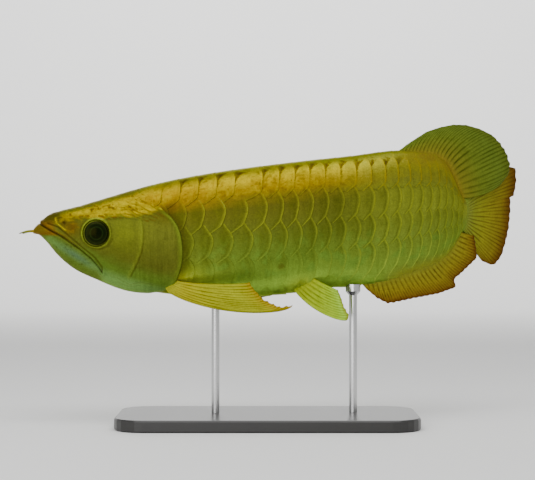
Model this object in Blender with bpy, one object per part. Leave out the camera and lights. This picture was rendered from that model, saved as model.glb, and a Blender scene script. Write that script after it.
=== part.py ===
"""Asian arowana, life size, on a display stand.

The fish is drawn straight: x runs from snout to tail, z up, and its left side faces -y. Every piece of
it is made on that straight fish. The tail is then bent away to the right, as the living fish swims.
Metres throughout. The origin is the centre of the underside of the stand's base.
"""

import math

import bmesh
import bpy
import numpy as np

# Driving sizes
GAP = 0.0003
SWIM_HEIGHT = 0.185
BEND_START = 0.040
BEND_RADIUS = 0.266
BEND_ANGLE = math.radians(38)
JAW_TIP = -0.2340
BODY_END = BEND_START + BEND_RADIUS * BEND_ANGLE

# The body's lines, (x, value) at each station from the tip of the lower jaw to the root of the tail fin
TOP_LINE = (
    (JAW_TIP, 0.0105), (-0.2315, 0.0137), (-0.2275, 0.0165), (-0.2225, 0.0220), (-0.2175, 0.0257),
    (-0.2075, 0.0290), (-0.1875, 0.0342), (-0.1375, 0.0490), (-0.1075, 0.0572), (-0.0675, 0.0652),
    (-0.0175, 0.0727), (0.0325, 0.0788), (0.0830, 0.0844), (0.1360, 0.0908), (0.1600, 0.0903),
    (0.1820, 0.0870), (0.1916, 0.0812), (0.1996, 0.0701), (0.2108, 0.0507), (BODY_END, 0.0462),
)
BOTTOM_LINE = (
    (JAW_TIP, 0.0065), (-0.2275, 0.0047), (-0.2216, -0.0008), (-0.2100, -0.0146), (-0.1985, -0.0250),
    (-0.1700, -0.0399), (-0.1410, -0.0508), (-0.1070, -0.0540), (-0.0675, -0.0570), (-0.0275, -0.0585),
    (0.0225, -0.0546), (0.0525, -0.0500), (0.0942, -0.0465), (0.1230, -0.0422), (0.1510, -0.0346),
    (0.1820, -0.0246), (0.1983, -0.0124), (0.2080, 0.0000), (BODY_END, 0.0088),
)
HALF_WIDTH = (
    (JAW_TIP, 0.0040), (-0.2315, 0.0080), (-0.2275, 0.0108), (-0.2220, 0.0134), (-0.2150, 0.0157),
    (-0.2050, 0.0180), (-0.1900, 0.0208), (-0.1710, 0.0238), (-0.1500, 0.0265), (-0.1000, 0.0303),
    (-0.0400, 0.0312), (0.0200, 0.0300), (0.0600, 0.0275), (0.1000, 0.0235), (0.1400, 0.0180),
    (0.1700, 0.0135), (0.1950, 0.0090), (BODY_END, 0.0055),
)
WIDEST_LEVEL = (
    (JAW_TIP, 0.0085), (-0.2000, 0.0110), (-0.1700, 0.0080), (-0.1300, 0.0050), (-0.0500, 0.0110),
    (0.0500, 0.0190), (0.1500, 0.0300), (0.2000, 0.0290), (BODY_END, 0.0275),
)
BACK_SQUARENESS = (
    (JAW_TIP, 2.0), (-0.2000, 2.5), (-0.1000, 2.6), (0.0500, 2.4), (0.1400, 1.9), (BODY_END, 1.8),
)
BELLY_SQUARENESS = (
    (JAW_TIP, 2.0), (-0.1700, 1.8), (-0.0500, 2.1), (0.0800, 1.9), (0.1500, 1.7), (BODY_END, 1.8),
)

# The rear edge of the gill covers, as (turn from 0 on the back to 1 on the belly, x)
GILL_EDGE = (
    (0.00, -0.1080), (0.20, -0.1075), (0.31, -0.1045), (0.43, -0.0920), (0.58, -0.0865),
    (0.77, -0.0905), (0.88, -0.0980), (1.00, -0.1130),
)

# Scales. ROW_TURNS gives the turn of a place counted in rows, and ROW_SHIFTS how far back each row's rims
# stand, in columns. One column is wider than its neighbours.
SCALE_ROWS = 5
SCALE_COLUMNS = 23
RIM_LINES = 20
TAIL_FROM_LINE = 14
LEVELS_PER_ROW = 4
ROW_TURNS = ((0.0, 0.000), (0.5, 0.070), (1.5, 0.262), (2.5, 0.460), (3.5, 0.645), (4.5, 0.850), (5.0, 1.000))
ROW_SHIFTS = ((0.0, -0.14), (2.0, -0.14), (3.0, -0.44), (4.0, -0.31), (5.0, -0.31))
RIM_BULGE = 0.30
WIDE_COLUMN = 5
WIDER_BY = 0.0095
SCALE_DEPTH = 0.0009
RIM_STEP = 0.0008

# Head
HEAD_RINGS = 32
HEAD_LEVELS = 2 * SCALE_ROWS * LEVELS_PER_ROW
EYE_CENTRE = (-0.1686, 0.0067)
EYE_RADIUS = 0.0126
EYE_THICKNESS = 0.0096
EYE_LEVEL = 0.0223
EYE_TURN = math.radians(7)
NOSTRIL = (-0.2017, 0.0172)
MOUTH_LINE = (
    (-0.2290, 0.0200), (-0.2267, 0.0161), (-0.2175, 0.0109), (-0.2082, 0.0062), (-0.2008, 0.0020),
    (-0.1851, -0.0090), (-0.1736, -0.0186), (-0.1668, -0.0268), (-0.1640, -0.0320), (-0.1478, -0.0506),
    (-0.1468, -0.0560),
)
UPPER_JAW_EDGE = ((-0.2068, 0.0125), (-0.1960, 0.0037), (-0.1849, -0.0049), (-0.1700, -0.0173))
CHEEK_LINE = (
    (-0.1228, 0.0200), (-0.1212, 0.0100), (-0.1215, -0.0020), (-0.1238, -0.0130), (-0.1350, -0.0360),
)
BARBEL_ROOT = (-0.2318, 0.0036, 0.0086)
BARBEL_TIP = (-0.2470, 0.0105, 0.0062)
BARBEL_RADIUS = 0.0012

# Fins
RAY_RIDGE = 0.0003
FIN_EDGE = 0.0007
RIGHT_PECTORAL_RAISED = 0.015

# Stand
BASE_SIZE = (0.300, 0.130, 0.012)
BASE_CORNER = 0.030
ROD_RADIUS = 0.004
ROD_PLACES = (("stand_rod_front", -0.052), ("stand_rod_rear", 0.086))
CUP_RADIUS = 0.0075
CUP_DEPTH = 0.007


def along(line, at):
    """The value of a (station, value) line, on a smooth curve through its points. at may be an array."""
    stations = np.array([point[0] for point in line])
    values = np.array([point[1] for point in line])
    slopes = np.gradient(values, stations)
    at = np.clip(at, stations[0], stations[-1])
    i = np.clip(np.searchsorted(stations, at) - 1, 0, len(stations) - 2)
    width = stations[i + 1] - stations[i]
    t = (at - stations[i]) / width
    return (
        values[i] * (1 + 2 * t) * (1 - t) ** 2
        + slopes[i] * width * t * (1 - t) ** 2
        + values[i + 1] * t * t * (3 - 2 * t)
        - slopes[i + 1] * width * t * t * (1 - t)
    )


def section_table(stations, turns):
    """Distance from the middle and height of the body's left side, at each station and each share of the
    way round from the back to the belly."""
    angle = np.linspace(0, math.pi, 181)
    upper = angle < math.pi / 2
    table = []
    for x in stations:
        top, bottom, level = along(TOP_LINE, x), along(BOTTOM_LINE, x), along(WIDEST_LEVEL, x)
        power = 2 / np.where(upper, along(BACK_SQUARENESS, x), along(BELLY_SQUARENESS, x))
        across = along(HALF_WIDTH, x) * np.sin(angle).clip(0) ** power
        rise = np.sign(np.cos(angle)) * np.abs(np.cos(angle)) ** power
        height = level + np.where(upper, top - level, level - bottom) * rise
        length = np.concatenate(([0.0], np.cumsum(np.hypot(np.diff(across), np.diff(height)))))
        share = length / length[-1]
        table.append(np.stack((np.interp(turns, share, across), np.interp(turns, share, height)), -1))
    return np.array(table)


STATIONS = np.linspace(JAW_TIP, BODY_END, 901)
TURNS = np.linspace(0, 1, 201)
SECTIONS = section_table(STATIONS, TURNS)


def smooth_skin(x, turn):
    """Points on the smooth body. A turn below 0 is on the fish's right side."""
    turn = (turn + 1) % 2 - 1
    i = np.clip((x - STATIONS[0]) / (STATIONS[1] - STATIONS[0]), 0, len(STATIONS) - 1.001)
    j = np.clip(np.abs(turn) * (len(TURNS) - 1), 0, len(TURNS) - 1.001)
    i0, j0 = i.astype(int), j.astype(int)
    fi, fj = (i - i0)[..., None], (j - j0)[..., None]
    front = SECTIONS[i0, j0] * (1 - fj) + SECTIONS[i0, j0 + 1] * fj
    rear = SECTIONS[i0 + 1, j0] * (1 - fj) + SECTIONS[i0 + 1, j0 + 1] * fj
    section = front * (1 - fi) + rear * fi
    side = np.where(turn >= 0, -1.0, 1.0)
    return np.stack((x, side * section[..., 0], section[..., 1]), -1)


def skin(x, turn, lift=0.0):
    """Points on the body, lifted straight off it by lift."""
    x, turn, lift = np.broadcast_arrays(np.asarray(x, float), turn, lift)
    points = smooth_skin(x, turn)
    lengthways = smooth_skin(x + 0.001, turn) - smooth_skin(x - 0.001, turn)
    round_it = smooth_skin(x, turn + 0.008) - smooth_skin(x, turn - 0.008)
    outward = np.cross(round_it, lengthways)
    outward /= np.linalg.norm(outward, axis=-1, keepdims=True)
    return points + lift[..., None] * outward


def placed(points):
    """Where points of the straight fish stand when it swims at its height with its tail bent away."""
    points = np.asarray(points, float)
    angle = np.clip((points[:, 0] - BEND_START) / BEND_RADIUS, 0, BEND_ANGLE)
    beyond = np.maximum(points[:, 0] - BODY_END, 0)
    x = np.minimum(points[:, 0], BEND_START) + BEND_RADIUS * np.sin(angle) + beyond * np.cos(angle)
    y = BEND_RADIUS * (1 - np.cos(angle)) + beyond * np.sin(angle)
    return np.stack((
        x - points[:, 1] * np.sin(angle), y + points[:, 1] * np.cos(angle), points[:, 2] + SWIM_HEIGHT
    ), -1)


def place(obj):
    points = placed([vertex.co for vertex in obj.data.vertices])
    obj.data.vertices.foreach_set("co", points.ravel())
    obj.data.update()


def finish_of(name, colour, roughness, metallic=0.0):
    material = bpy.data.materials.new(name)
    material.use_nodes = True
    shader = material.node_tree.nodes["Principled BSDF"]
    shader.inputs["Base Color"].default_value = (*colour, 1)
    shader.inputs["Roughness"].default_value = roughness
    shader.inputs["Metallic"].default_value = metallic
    return material


def piece(name, mesh, material):
    obj = bpy.data.objects.new(name, mesh)
    arowana.objects.link(obj)
    mesh.materials.append(material)
    return obj


def cutter(name, mesh):
    obj = bpy.data.objects.new(name, mesh)
    cutters.objects.link(obj)
    obj.hide_render = True
    obj.display_type = "WIRE"
    return obj


def shade(mesh):
    mesh.shade_smooth()
    mesh.set_sharp_from_angle(angle=math.radians(50))


def mesh_of(name, points, faces):
    mesh = bpy.data.meshes.new(name)
    mesh.from_pydata([tuple(point) for point in points], [], faces)
    build = bmesh.new()
    build.from_mesh(mesh)
    bmesh.ops.triangulate(build, faces=build.faces)
    bmesh.ops.recalc_face_normals(build, faces=build.faces)
    build.to_mesh(mesh)
    build.free()
    shade(mesh)
    return mesh


def apply_modifiers(obj):
    bpy.context.view_layer.update()
    evaluated = obj.evaluated_get(bpy.context.evaluated_depsgraph_get())
    made = bpy.data.meshes.new_from_object(evaluated)
    obj.modifiers.clear()
    obj.data = made


def cut(obj, operation, *operands):
    for operand in operands:
        modifier = obj.modifiers.new(operation.title(), "BOOLEAN")
        modifier.operation = operation
        modifier.solver = "EXACT"
        modifier.object = operand
        apply_modifiers(obj)
    keep_largest_surface(obj)


def keep_largest_surface(obj):
    """Welds the mesh and drops any loose scrap that a cut has left."""
    build = bmesh.new()
    build.from_mesh(obj.data)
    bmesh.ops.remove_doubles(build, verts=build.verts, dist=0.00001)
    bmesh.ops.dissolve_degenerate(build, edges=build.edges, dist=0.00001)
    groups, seen = [], set()
    for start in build.verts:
        if start in seen:
            continue
        group, waiting = {start}, [start]
        while waiting:
            for link in waiting.pop().link_edges:
                for vertex in link.verts:
                    if vertex not in group:
                        group.add(vertex)
                        waiting.append(vertex)
        seen |= group
        groups.append(group)
    kept = max(groups, key=len)
    bmesh.ops.delete(build, geom=[vertex for vertex in build.verts if vertex not in kept], context="VERTS")
    bmesh.ops.triangulate(build, faces=build.faces)
    bmesh.ops.recalc_face_normals(build, faces=build.faces)
    build.to_mesh(obj.data)
    build.free()
    shade(obj.data)


for old_object in list(bpy.data.objects):
    bpy.data.objects.remove(old_object)
arowana = bpy.data.collections.new("asian_arowana")
cutters = bpy.data.collections.new("cutters")
bpy.context.scene.collection.children.link(arowana)
bpy.context.scene.collection.children.link(cutters)

scaled_skin = finish_of("scaled_skin", (0.30, 0.31, 0.03), 0.35, 0.4)
head_skin = finish_of("head_skin", (0.42, 0.36, 0.03), 0.35, 0.4)
jaw_skin = finish_of("jaw_skin", (0.22, 0.36, 0.12), 0.4, 0.2)
fin_skin = finish_of("fin_skin", (0.40, 0.33, 0.03), 0.45)
eye_finish = finish_of("eye", (0.02, 0.03, 0.02), 0.1)
stand_finish = finish_of("stand", (0.05, 0.05, 0.05), 0.4)
rod_finish = finish_of("rod", (0.6, 0.6, 0.6), 0.25, 1.0)


# Closed bodies lofted through rings that run from the back down the left side and up the right

def ring_rows(levels):
    """Places round a ring, counted in rows of scales, with those on the right side below 0."""
    step = SCALE_ROWS / levels
    return np.array([k * step for k in range(levels + 1)] + [-k * step for k in range(levels - 1, 0, -1)])


def row_turn(rows):
    return np.sign(rows) * along(ROW_TURNS, np.abs(rows))


def ring_turns(levels):
    return row_turn(ring_rows(levels))


def straight_faces(first, second, count):
    return [[first + k, second + k, second + (k + 1) % count, first + (k + 1) % count] for k in range(count)]


def skewed_faces(first, second, count):
    """Faces whose lengthways edges fall one level towards the head on both sides, as the scale rows do."""
    levels = count // 2
    faces = []
    for side in (1, -1):
        for k in range(levels - 1):
            faces.append([
                first + side * (k + 1) % count, second + side * k % count,
                second + side * (k + 1) % count, first + side * (k + 2) % count,
            ])
    faces.append([first, first + 1, second, first + count - 1])
    faces.append([first + levels, second + levels - 1, second + levels, second + levels + 1])
    return faces


def lofted(name, rings, middles, skewed=()):
    """skewed lists the rings whose faces back to the ring before them are skewed."""
    count = len(rings[0])
    points = [point for ring in rings for point in ring] + list(middles)
    faces = []
    for i in range(1, len(rings)):
        join = skewed_faces if i in skewed else straight_faces
        faces += join((i - 1) * count, i * count, count)
    front, rear, last = len(points) - 2, len(points) - 1, (len(rings) - 1) * count
    faces += [[front, k, (k + 1) % count] for k in range(count)]
    faces += [[rear, last + (k + 1) % count, last + k] for k in range(count)]
    return mesh_of(name, points, faces)


def middle_of(ring, shift=0.0):
    return ring.mean(axis=0) + np.array((shift, 0, 0))


def gill_ring(shift, grow=0.0):
    turns = ring_turns(SCALE_ROWS * LEVELS_PER_ROW)
    return skin(along(GILL_EDGE, np.abs(turns)) + shift, turns, grow)


# Trunk and tail stalk, each ring the line of rims of one column of scales

def rising(value, start, end):
    """0 up to start, 1 from end, smooth between."""
    t = np.clip((value - start) / (end - start), 0, 1)
    return t * t * (3 - 2 * t)


def rim_x(column, rows):
    """x of a column's rims, each of which stands furthest back in the middle of its row."""
    turns = row_turn(rows)
    bulge = RIM_BULGE * np.abs(np.sin(math.pi * (rows + 0.5))) ** 0.75
    place = column + along(ROW_SHIFTS, np.abs(rows)) + bulge
    share = np.clip(place / SCALE_COLUMNS, 0, 1)
    begins = WIDE_COLUMN - 0.8 - 4 * rising(np.abs(turns), 0.2, 0.5)
    wider = WIDER_BY * (rising(place, begins, WIDE_COLUMN) - rising(place, WIDE_COLUMN, WIDE_COLUMN + 6))
    front = along(GILL_EDGE, np.abs(turns))
    return front + (BODY_END - front) * (1.29 * share - 0.29 * share**3) + wider


def rim_ring(column, sunk, grow=0.0):
    rows = ring_rows(SCALE_ROWS * LEVELS_PER_ROW)
    on_ridge = np.isin(np.abs(rows), (0.0, SCALE_ROWS))
    depth = np.where(on_ridge, 0.0, SCALE_DEPTH)
    return skin(rim_x(column, rows) + sunk * RIM_STEP, row_turn(rows), grow - sunk * depth)


def tail_end_ring(grow=0.0):
    turns = ring_turns(SCALE_ROWS * LEVELS_PER_ROW)
    return skin(np.full(len(turns), BODY_END), turns, grow) + np.array((grow, 0, 0))


def body_rings(first, last, grow):
    """Rings from one rim line to another, and which of them have skewed faces before them. Line 0 is the
    gill edge, and RIM_LINES runs on to the root of the tail fin."""
    rings = [gill_ring(GAP, grow) if first == 0 else rim_ring(first, 1, grow) + np.array((GAP, 0, 0))]
    skewed = []
    for line in range(first + 1, last + 1):
        rings.append(rim_ring(line, 0, grow))
        skewed.append(len(rings) - 1)
        if line < last or last == RIM_LINES:
            rings.append(rim_ring(line, 1, grow))
    if last == RIM_LINES:
        rings.append(tail_end_ring(grow))
        skewed.append(len(rings) - 1)
    return rings, skewed


def body_length(name, first, last):
    rings, skewed = body_rings(first, last, 0.0)
    return lofted(name, rings, [middle_of(rings[0], GAP), middle_of(rings[-1])], skewed)


def body_room():
    """The room that trunk and tail stalk take, a gap larger all round, to cut fins and rod cups to."""
    rings, skewed = body_rings(0, RIM_LINES, GAP)
    front = gill_ring(-0.002, GAP)
    return cutter("body_room", lofted(
        "body_room", [front, *rings], [middle_of(front), middle_of(rings[-1])], [ring + 1 for ring in skewed]
    ))


piece("trunk", body_length("trunk", 0, TAIL_FROM_LINE), scaled_skin)
piece("tail_stalk", body_length("tail_stalk", TAIL_FROM_LINE, RIM_LINES), scaled_skin)


# Head: bone ridges stand off the smooth body, then the mouth and the eye sockets are cut

def distance_to(line, x, z):
    """Distance in the side view from points to a line of (x, z) points."""
    nearest = np.full(np.shape(x), np.inf)
    for (x0, z0), (x1, z1) in zip(line, line[1:]):
        length = (x1 - x0) ** 2 + (z1 - z0) ** 2
        t = np.clip(((x - x0) * (x1 - x0) + (z - z0) * (z1 - z0)) / length, 0, 1)
        nearest = np.minimum(nearest, np.hypot(x - x0 - t * (x1 - x0), z - z0 - t * (z1 - z0)))
    return nearest


def swell(distance, width):
    return np.exp(-((distance / width) ** 2))


def head_relief(points):
    x, z = points[..., 0], points[..., 2]
    eye = np.hypot(x - EYE_CENTRE[0], z - EYE_CENTRE[1])
    relief = 0.0010 * swell(distance_to(MOUTH_LINE[1:9], x, z), 0.0028)
    relief -= 0.0008 * swell(distance_to(UPPER_JAW_EDGE, x, z), 0.0018)
    relief += 0.0012 * swell(eye - 0.0150, 0.0022)
    relief -= 0.0008 * swell(eye - 0.0215, 0.0020) * (z < EYE_CENTRE[1])
    relief -= 0.0008 * swell(distance_to(CHEEK_LINE, x, z), 0.0022)
    relief -= 0.0012 * swell(np.hypot(x - NOSTRIL[0], z - NOSTRIL[1]), 0.0016)
    return relief


def head_ring(share, grow):
    turns = ring_turns(HEAD_LEVELS)
    x = JAW_TIP + share * (along(GILL_EDGE, np.abs(turns)) - GAP - JAW_TIP)
    points = skin(x, turns)
    gill_lip = 0.0012 * swell(share - 0.975, 0.012)
    relief = (head_relief(points) * (share < 0.97) + gill_lip) * min(1, 8 * share)
    return skin(x, turns, relief + grow)


def gill_edge_ring(grow):
    """The trunk's front edge moved forward, with a point added midway along each side."""
    corners = gill_ring(-GAP, grow)
    return np.stack((corners, (corners + np.roll(corners, -1, axis=0)) / 2), 1).reshape(-1, 3)


def whole_head(name, grow=0.0):
    shares = [(i / (HEAD_RINGS - 1)) ** 1.35 for i in range(HEAD_RINGS - 1)]
    rings = [head_ring(share, grow) for share in shares] + [gill_edge_ring(grow)]
    rings[0][:, 0] -= grow
    middles = [middle_of(rings[0], -0.0004), middle_of(gill_ring(GAP), -GAP)]
    return lofted(name, rings, middles)


def jaw_region(name, shift):
    """A slab across the head holding all that lies below and in front of the mouth line."""
    outline = [(x + shift, z + shift) for x, z in MOUTH_LINE]
    outline += [(MOUTH_LINE[-1][0], -0.0800), (-0.2600, -0.0800), (-0.2600, MOUTH_LINE[0][1])]
    count, half = len(outline), 0.05
    points = [(x, -half, z) for x, z in outline] + [(x, half, z) for x, z in outline]
    faces = [list(range(count)), list(range(2 * count - 1, count - 1, -1))]
    faces += [[i, (i + 1) % count, count + (i + 1) % count, count + i] for i in range(count)]
    return cutter(name, mesh_of(name, points, faces))


def lens(name, side, grow):
    """An eyeball's outward part: a round lens set square to the cheek."""
    build = bmesh.new()
    bmesh.ops.create_uvsphere(build, u_segments=20, v_segments=10, radius=1.0)
    mesh = bpy.data.meshes.new(name)
    build.to_mesh(mesh)
    build.free()
    points = np.array([vertex.co for vertex in mesh.vertices])
    points = points[:, (0, 2, 1)] * (EYE_RADIUS + grow, EYE_THICKNESS / 2 + grow, EYE_RADIUS + grow)
    turn = -side * EYE_TURN
    x = points[:, 0] * math.cos(turn) - points[:, 1] * math.sin(turn) + EYE_CENTRE[0]
    y = points[:, 0] * math.sin(turn) + points[:, 1] * math.cos(turn) + side * EYE_LEVEL
    faces = [list(polygon.vertices) for polygon in mesh.polygons]
    return mesh_of(name, np.stack((x, y, points[:, 2] + EYE_CENTRE[1]), -1), faces)


head = piece("head", whole_head("head"), head_skin)
lower_jaw = piece("lower_jaw", head.data.copy(), jaw_skin)
lower_jaw.data.materials.clear()
lower_jaw.data.materials.append(jaw_skin)
sockets = [cutter(f"socket_{side}", lens("socket", side, GAP)) for side in (-1, 1)]
cut(head, "DIFFERENCE", jaw_region("jaw_room", 0), *sockets)
cut(lower_jaw, "INTERSECT", jaw_region("jaw_part", -GAP))
piece("eye_left", lens("eye_left", -1, 0), eye_finish)
piece("eye_right", lens("eye_right", 1, 0), eye_finish)


rooms = [body_room(), cutter("head_room", whole_head("head_room", GAP))]


# Barbels

def barbel(name, side):
    root, tip = BARBEL_ROOT * np.array((1, side, 1)), BARBEL_TIP * np.array((1, side, 1))
    steps, corners = 8, 8
    around = [2 * math.pi * k / corners for k in range(corners)]
    forward = (tip - root) / np.linalg.norm(tip - root)
    across = np.cross(forward, (0, 0, 1))
    across /= np.linalg.norm(across)
    above = np.cross(across, forward)
    rings = []
    for step in range(steps + 1):
        share = step / steps
        radius = BARBEL_RADIUS * (1 - share * 2 / 3)
        centre = root + (tip - root) * share + above * BARBEL_RADIUS * math.sin(math.pi * share)
        ring = [centre + radius * (math.cos(a) * across + math.sin(a) * above) for a in around]
        rings.append(np.array(ring))
    return piece(name, lofted(name, rings, [rings[0].mean(axis=0), tip + forward * 0.0003]), jaw_skin)


barbels = [barbel("barbel_left", -1), barbel("barbel_right", 1)]
for each in barbels:
    cut(each, "DIFFERENCE", *rooms)


# Fins: sheets of rays that fan from a root line to a margin, thick at the root and thin at the margin

def spaced(line, count):
    """count points evenly spaced along a line of points."""
    line = np.asarray(line, float)
    length = np.concatenate(([0.0], np.cumsum(np.linalg.norm(np.diff(line, axis=0), axis=1))))
    at = np.linspace(0, length[-1], count)
    return np.stack([np.interp(at, length, line[:, axis]) for axis in range(line.shape[1])], -1)


def fin(name, root, margin, rays, steps, thickness, bows, scallop=0.02):
    """root and margin are lines of points. bows is how far the first ray and the last curve to one side,
    as (x, y, z) shares of their length."""
    columns = 2 * rays - 1
    roots, tips = spaced(root, columns), spaced(margin, columns)
    middle, upper, lower = [], [], []
    for i in range(columns):
        between = i % 2 == 1
        reach = tips[i] - roots[i]
        bow = (bows[0] + (np.array(bows[1]) - bows[0]) * (i / (columns - 1)) ** 2) * np.linalg.norm(reach)
        for j in range(steps + 1):
            share = j / steps * (1 - scallop * between)
            middle.append(roots[i] + reach * share + bow * math.sqrt(max(0.0, math.sin(math.pi * share))))
    middle = np.array(middle).reshape(columns, steps + 1, 3)
    normal = np.cross(np.gradient(middle, axis=0), np.gradient(middle, axis=1))
    normal /= np.linalg.norm(normal, axis=-1, keepdims=True)
    share = np.linspace(0, 1, steps + 1)
    half = (thickness * (1 - share) ** 1.5 + FIN_EDGE * (1 - (1 - share) ** 1.5)) / 2
    ridge = RAY_RIDGE * (1 - 0.6 * share)
    halves = np.array([half + (ridge if i % 2 == 0 else 0) for i in range(columns)])
    points = np.concatenate([(middle + side * halves[..., None] * normal).reshape(-1, 3) for side in (1, -1)])
    return piece(name, mesh_of(name, points, sheet_faces(columns, steps + 1)), fin_skin)


def sheet_faces(columns, rows):
    """Triangles of a closed sheet of two like grids, split alike on both sides."""
    count = columns * rows
    faces = []
    for i in range(columns - 1):
        for j in range(rows - 1):
            a, b, c, d = i * rows + j, (i + 1) * rows + j, (i + 1) * rows + j + 1, i * rows + j + 1
            faces += [[a, b, c], [a, c, d]]
            faces += [[count + a, count + c, count + b], [count + a, count + d, count + c]]
    rim = [i * rows for i in range(columns)] + [(columns - 1) * rows + j for j in range(1, rows)]
    rim += [i * rows + rows - 1 for i in range(columns - 2, -1, -1)] + list(range(rows - 2, 0, -1))
    for a, b in zip(rim, rim[1:] + rim[:1]):
        faces += [[a, count + a, count + b], [a, count + b, b]]
    return faces


def upright(line, lean):
    """(x, z) points as (x, y, z), leaning towards the fish's left from lean[0] at x = lean[1]."""
    return [(x, -lean[0] * max(0.0, (x - lean[1]) / 0.1), z) for x, z in line]


DORSAL_ROOT = (
    (0.1370, 0.0870), (0.1600, 0.0860), (0.1800, 0.0820), (0.1920, 0.0760), (0.2010, 0.0630),
    (0.2085, 0.0500),
)
DORSAL_MARGIN = (
    (0.1440, 0.0972), (0.1569, 0.1043), (0.1692, 0.1107), (0.1858, 0.1150), (0.2035, 0.1180),
    (0.2204, 0.1181), (0.2377, 0.1151), (0.2553, 0.1097), (0.2687, 0.1017), (0.2777, 0.0927),
    (0.2834, 0.0804), (0.2800, 0.0708), (0.2666, 0.0620),
)
ANAL_ROOT = (
    (0.0955, -0.0435), (0.1230, -0.0390), (0.1510, -0.0315), (0.1800, -0.0215), (0.1960, -0.0105),
    (0.2085, 0.0085),
)
ANAL_MARGIN = (
    (0.1010, -0.0503), (0.1113, -0.0588), (0.1224, -0.0640), (0.1293, -0.0634), (0.1509, -0.0593),
    (0.1820, -0.0546), (0.2040, -0.0484), (0.2108, -0.0341), (0.2312, -0.0185), (0.2300, -0.0070),
    (0.2275, 0.0045),
)
CAUDAL_ROOT = ((0.2150, 0.0440), (0.2150, 0.0275), (0.2150, 0.0110))
CAUDAL_MARGIN = (
    (0.2576, 0.0600), (0.2844, 0.0781), (0.2948, 0.0768), (0.2959, 0.0620), (0.2924, 0.0478),
    (0.2868, 0.0453), (0.2868, 0.0304), (0.2844, 0.0132), (0.2800, -0.0009), (0.2733, -0.0164),
    (0.2643, -0.0250), (0.2576, -0.0264), (0.2443, -0.0224),
)
PECTORAL_ROOT = ((-0.0990, 0.0215, -0.0430), (-0.0920, 0.0235, -0.0390), (-0.0850, 0.0250, -0.0355))
PECTORAL_MARGIN = (
    (0.0245, 0.056, -0.0621), (0.0125, 0.055, -0.0640), (0.0060, 0.053, -0.0615),
    (-0.0039, 0.051, -0.0569), (-0.0079, 0.050, -0.0529), (-0.0140, 0.048, -0.0465),
    (-0.0175, 0.047, -0.0408),
)
PELVIC_ROOT = ((0.0270, 0.0100, -0.0480), (0.0360, 0.0130, -0.0445), (0.0455, 0.0160, -0.0400))
PELVIC_MARGIN = (
    (0.0745, 0.0340, -0.0770), (0.0755, 0.0338, -0.0730), (0.0712, 0.0320, -0.0647),
    (0.0690, 0.0295, -0.0560), (0.0665, 0.0270, -0.0490),
)

UP, DOWN = (0, 0, 0.03), (0, 0, -0.03)
DORSAL_REAR, ANAL_REAR = (0, -0.04, -0.11), (0, -0.08, -0.03)
dorsal_lines = upright(DORSAL_ROOT, (0, 0)), upright(DORSAL_MARGIN, (0.009, 0.195))
anal_lines = upright(ANAL_ROOT, (0, 0)), upright(ANAL_MARGIN, (0.012, 0.195))
caudal_lines = upright(CAUDAL_ROOT, (0, 0)), upright(CAUDAL_MARGIN, (0, 0))
fins = [
    fin("dorsal_fin", *dorsal_lines, rays=20, steps=6, thickness=0.0030, bows=(UP, DORSAL_REAR)),
    fin("anal_fin", *anal_lines, rays=26, steps=5, thickness=0.0030, bows=(DOWN, ANAL_REAR)),
    fin("caudal_fin", *caudal_lines, rays=18, steps=7, thickness=0.0040, bows=(UP, DOWN)),
]
for side, name, raised in ((-1, "left", 0.0), (1, "right", RIGHT_PECTORAL_RAISED)):
    flip = np.array((1, side, 1))
    pectoral_margin = PECTORAL_MARGIN * flip + np.array((0, 0, raised))
    fins.append(fin(
        f"pectoral_fin_{name}", PECTORAL_ROOT * flip, pectoral_margin, rays=8, steps=8, thickness=0.0030,
        bows=((0, 0.02 * side, -0.105), (0, 0.02 * side, -0.03)), scallop=0.01,
    ))
    fins.append(fin(
        f"pelvic_fin_{name}", PELVIC_ROOT * flip, PELVIC_MARGIN * flip, rays=6, steps=6, thickness=0.0026,
        bows=((0, 0.02 * side, -0.14), (0, 0.02 * side, -0.02)), scallop=0.015,
    ))
for each in fins:
    cut(each, "DIFFERENCE", *rooms)


# The fish swims: every piece made so far is put in its place

for obj in [*arowana.objects, *rooms]:
    place(obj)


# Stand

def turned(name, profile, centre, corners=24):
    """A closed body of revolution about an upright line, from (radius, height) points, bottom to top."""
    around = np.linspace(0, 2 * math.pi, corners, endpoint=False)
    rings = [
        np.stack((centre[0] + r * np.cos(around), centre[1] + r * np.sin(around), np.full(corners, h)), -1)
        for r, h in profile
    ]
    return lofted(name, rings, [rings[0].mean(axis=0), rings[-1].mean(axis=0)])


def base_plate():
    length, width, height = BASE_SIZE
    chamfer = 0.0015
    rings = []
    for inset, z in ((chamfer, 0), (0, chamfer), (0, height - chamfer), (chamfer, height)):
        ring = []
        for corner in range(4):
            cx = (length / 2 - BASE_CORNER) * (1 if corner in (0, 3) else -1)
            cy = (width / 2 - BASE_CORNER) * (1 if corner in (0, 1) else -1)
            for step in range(7):
                a = math.pi / 2 * (corner + step / 6)
                radius = BASE_CORNER - inset
                ring.append((cx + radius * math.cos(a), cy + radius * math.sin(a), z))
        rings.append(np.array(ring))
    return lofted("stand_base", rings, [middle_of(rings[0]), middle_of(rings[-1])])


piece("stand_base", base_plate(), stand_finish)
for name, x in ROD_PLACES:
    belly = placed([(x, 0, along(BOTTOM_LINE, x))])[0]
    top = belly[2] + 0.003
    profile = (
        (ROD_RADIUS, BASE_SIZE[2] + GAP), (ROD_RADIUS, top - CUP_DEPTH - 0.004),
        (CUP_RADIUS, top - CUP_DEPTH), (CUP_RADIUS, top),
    )
    rod = piece(name, turned(name, profile, belly), rod_finish)
    cut(rod, "DIFFERENCE", rooms[0])
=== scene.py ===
import math

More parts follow.
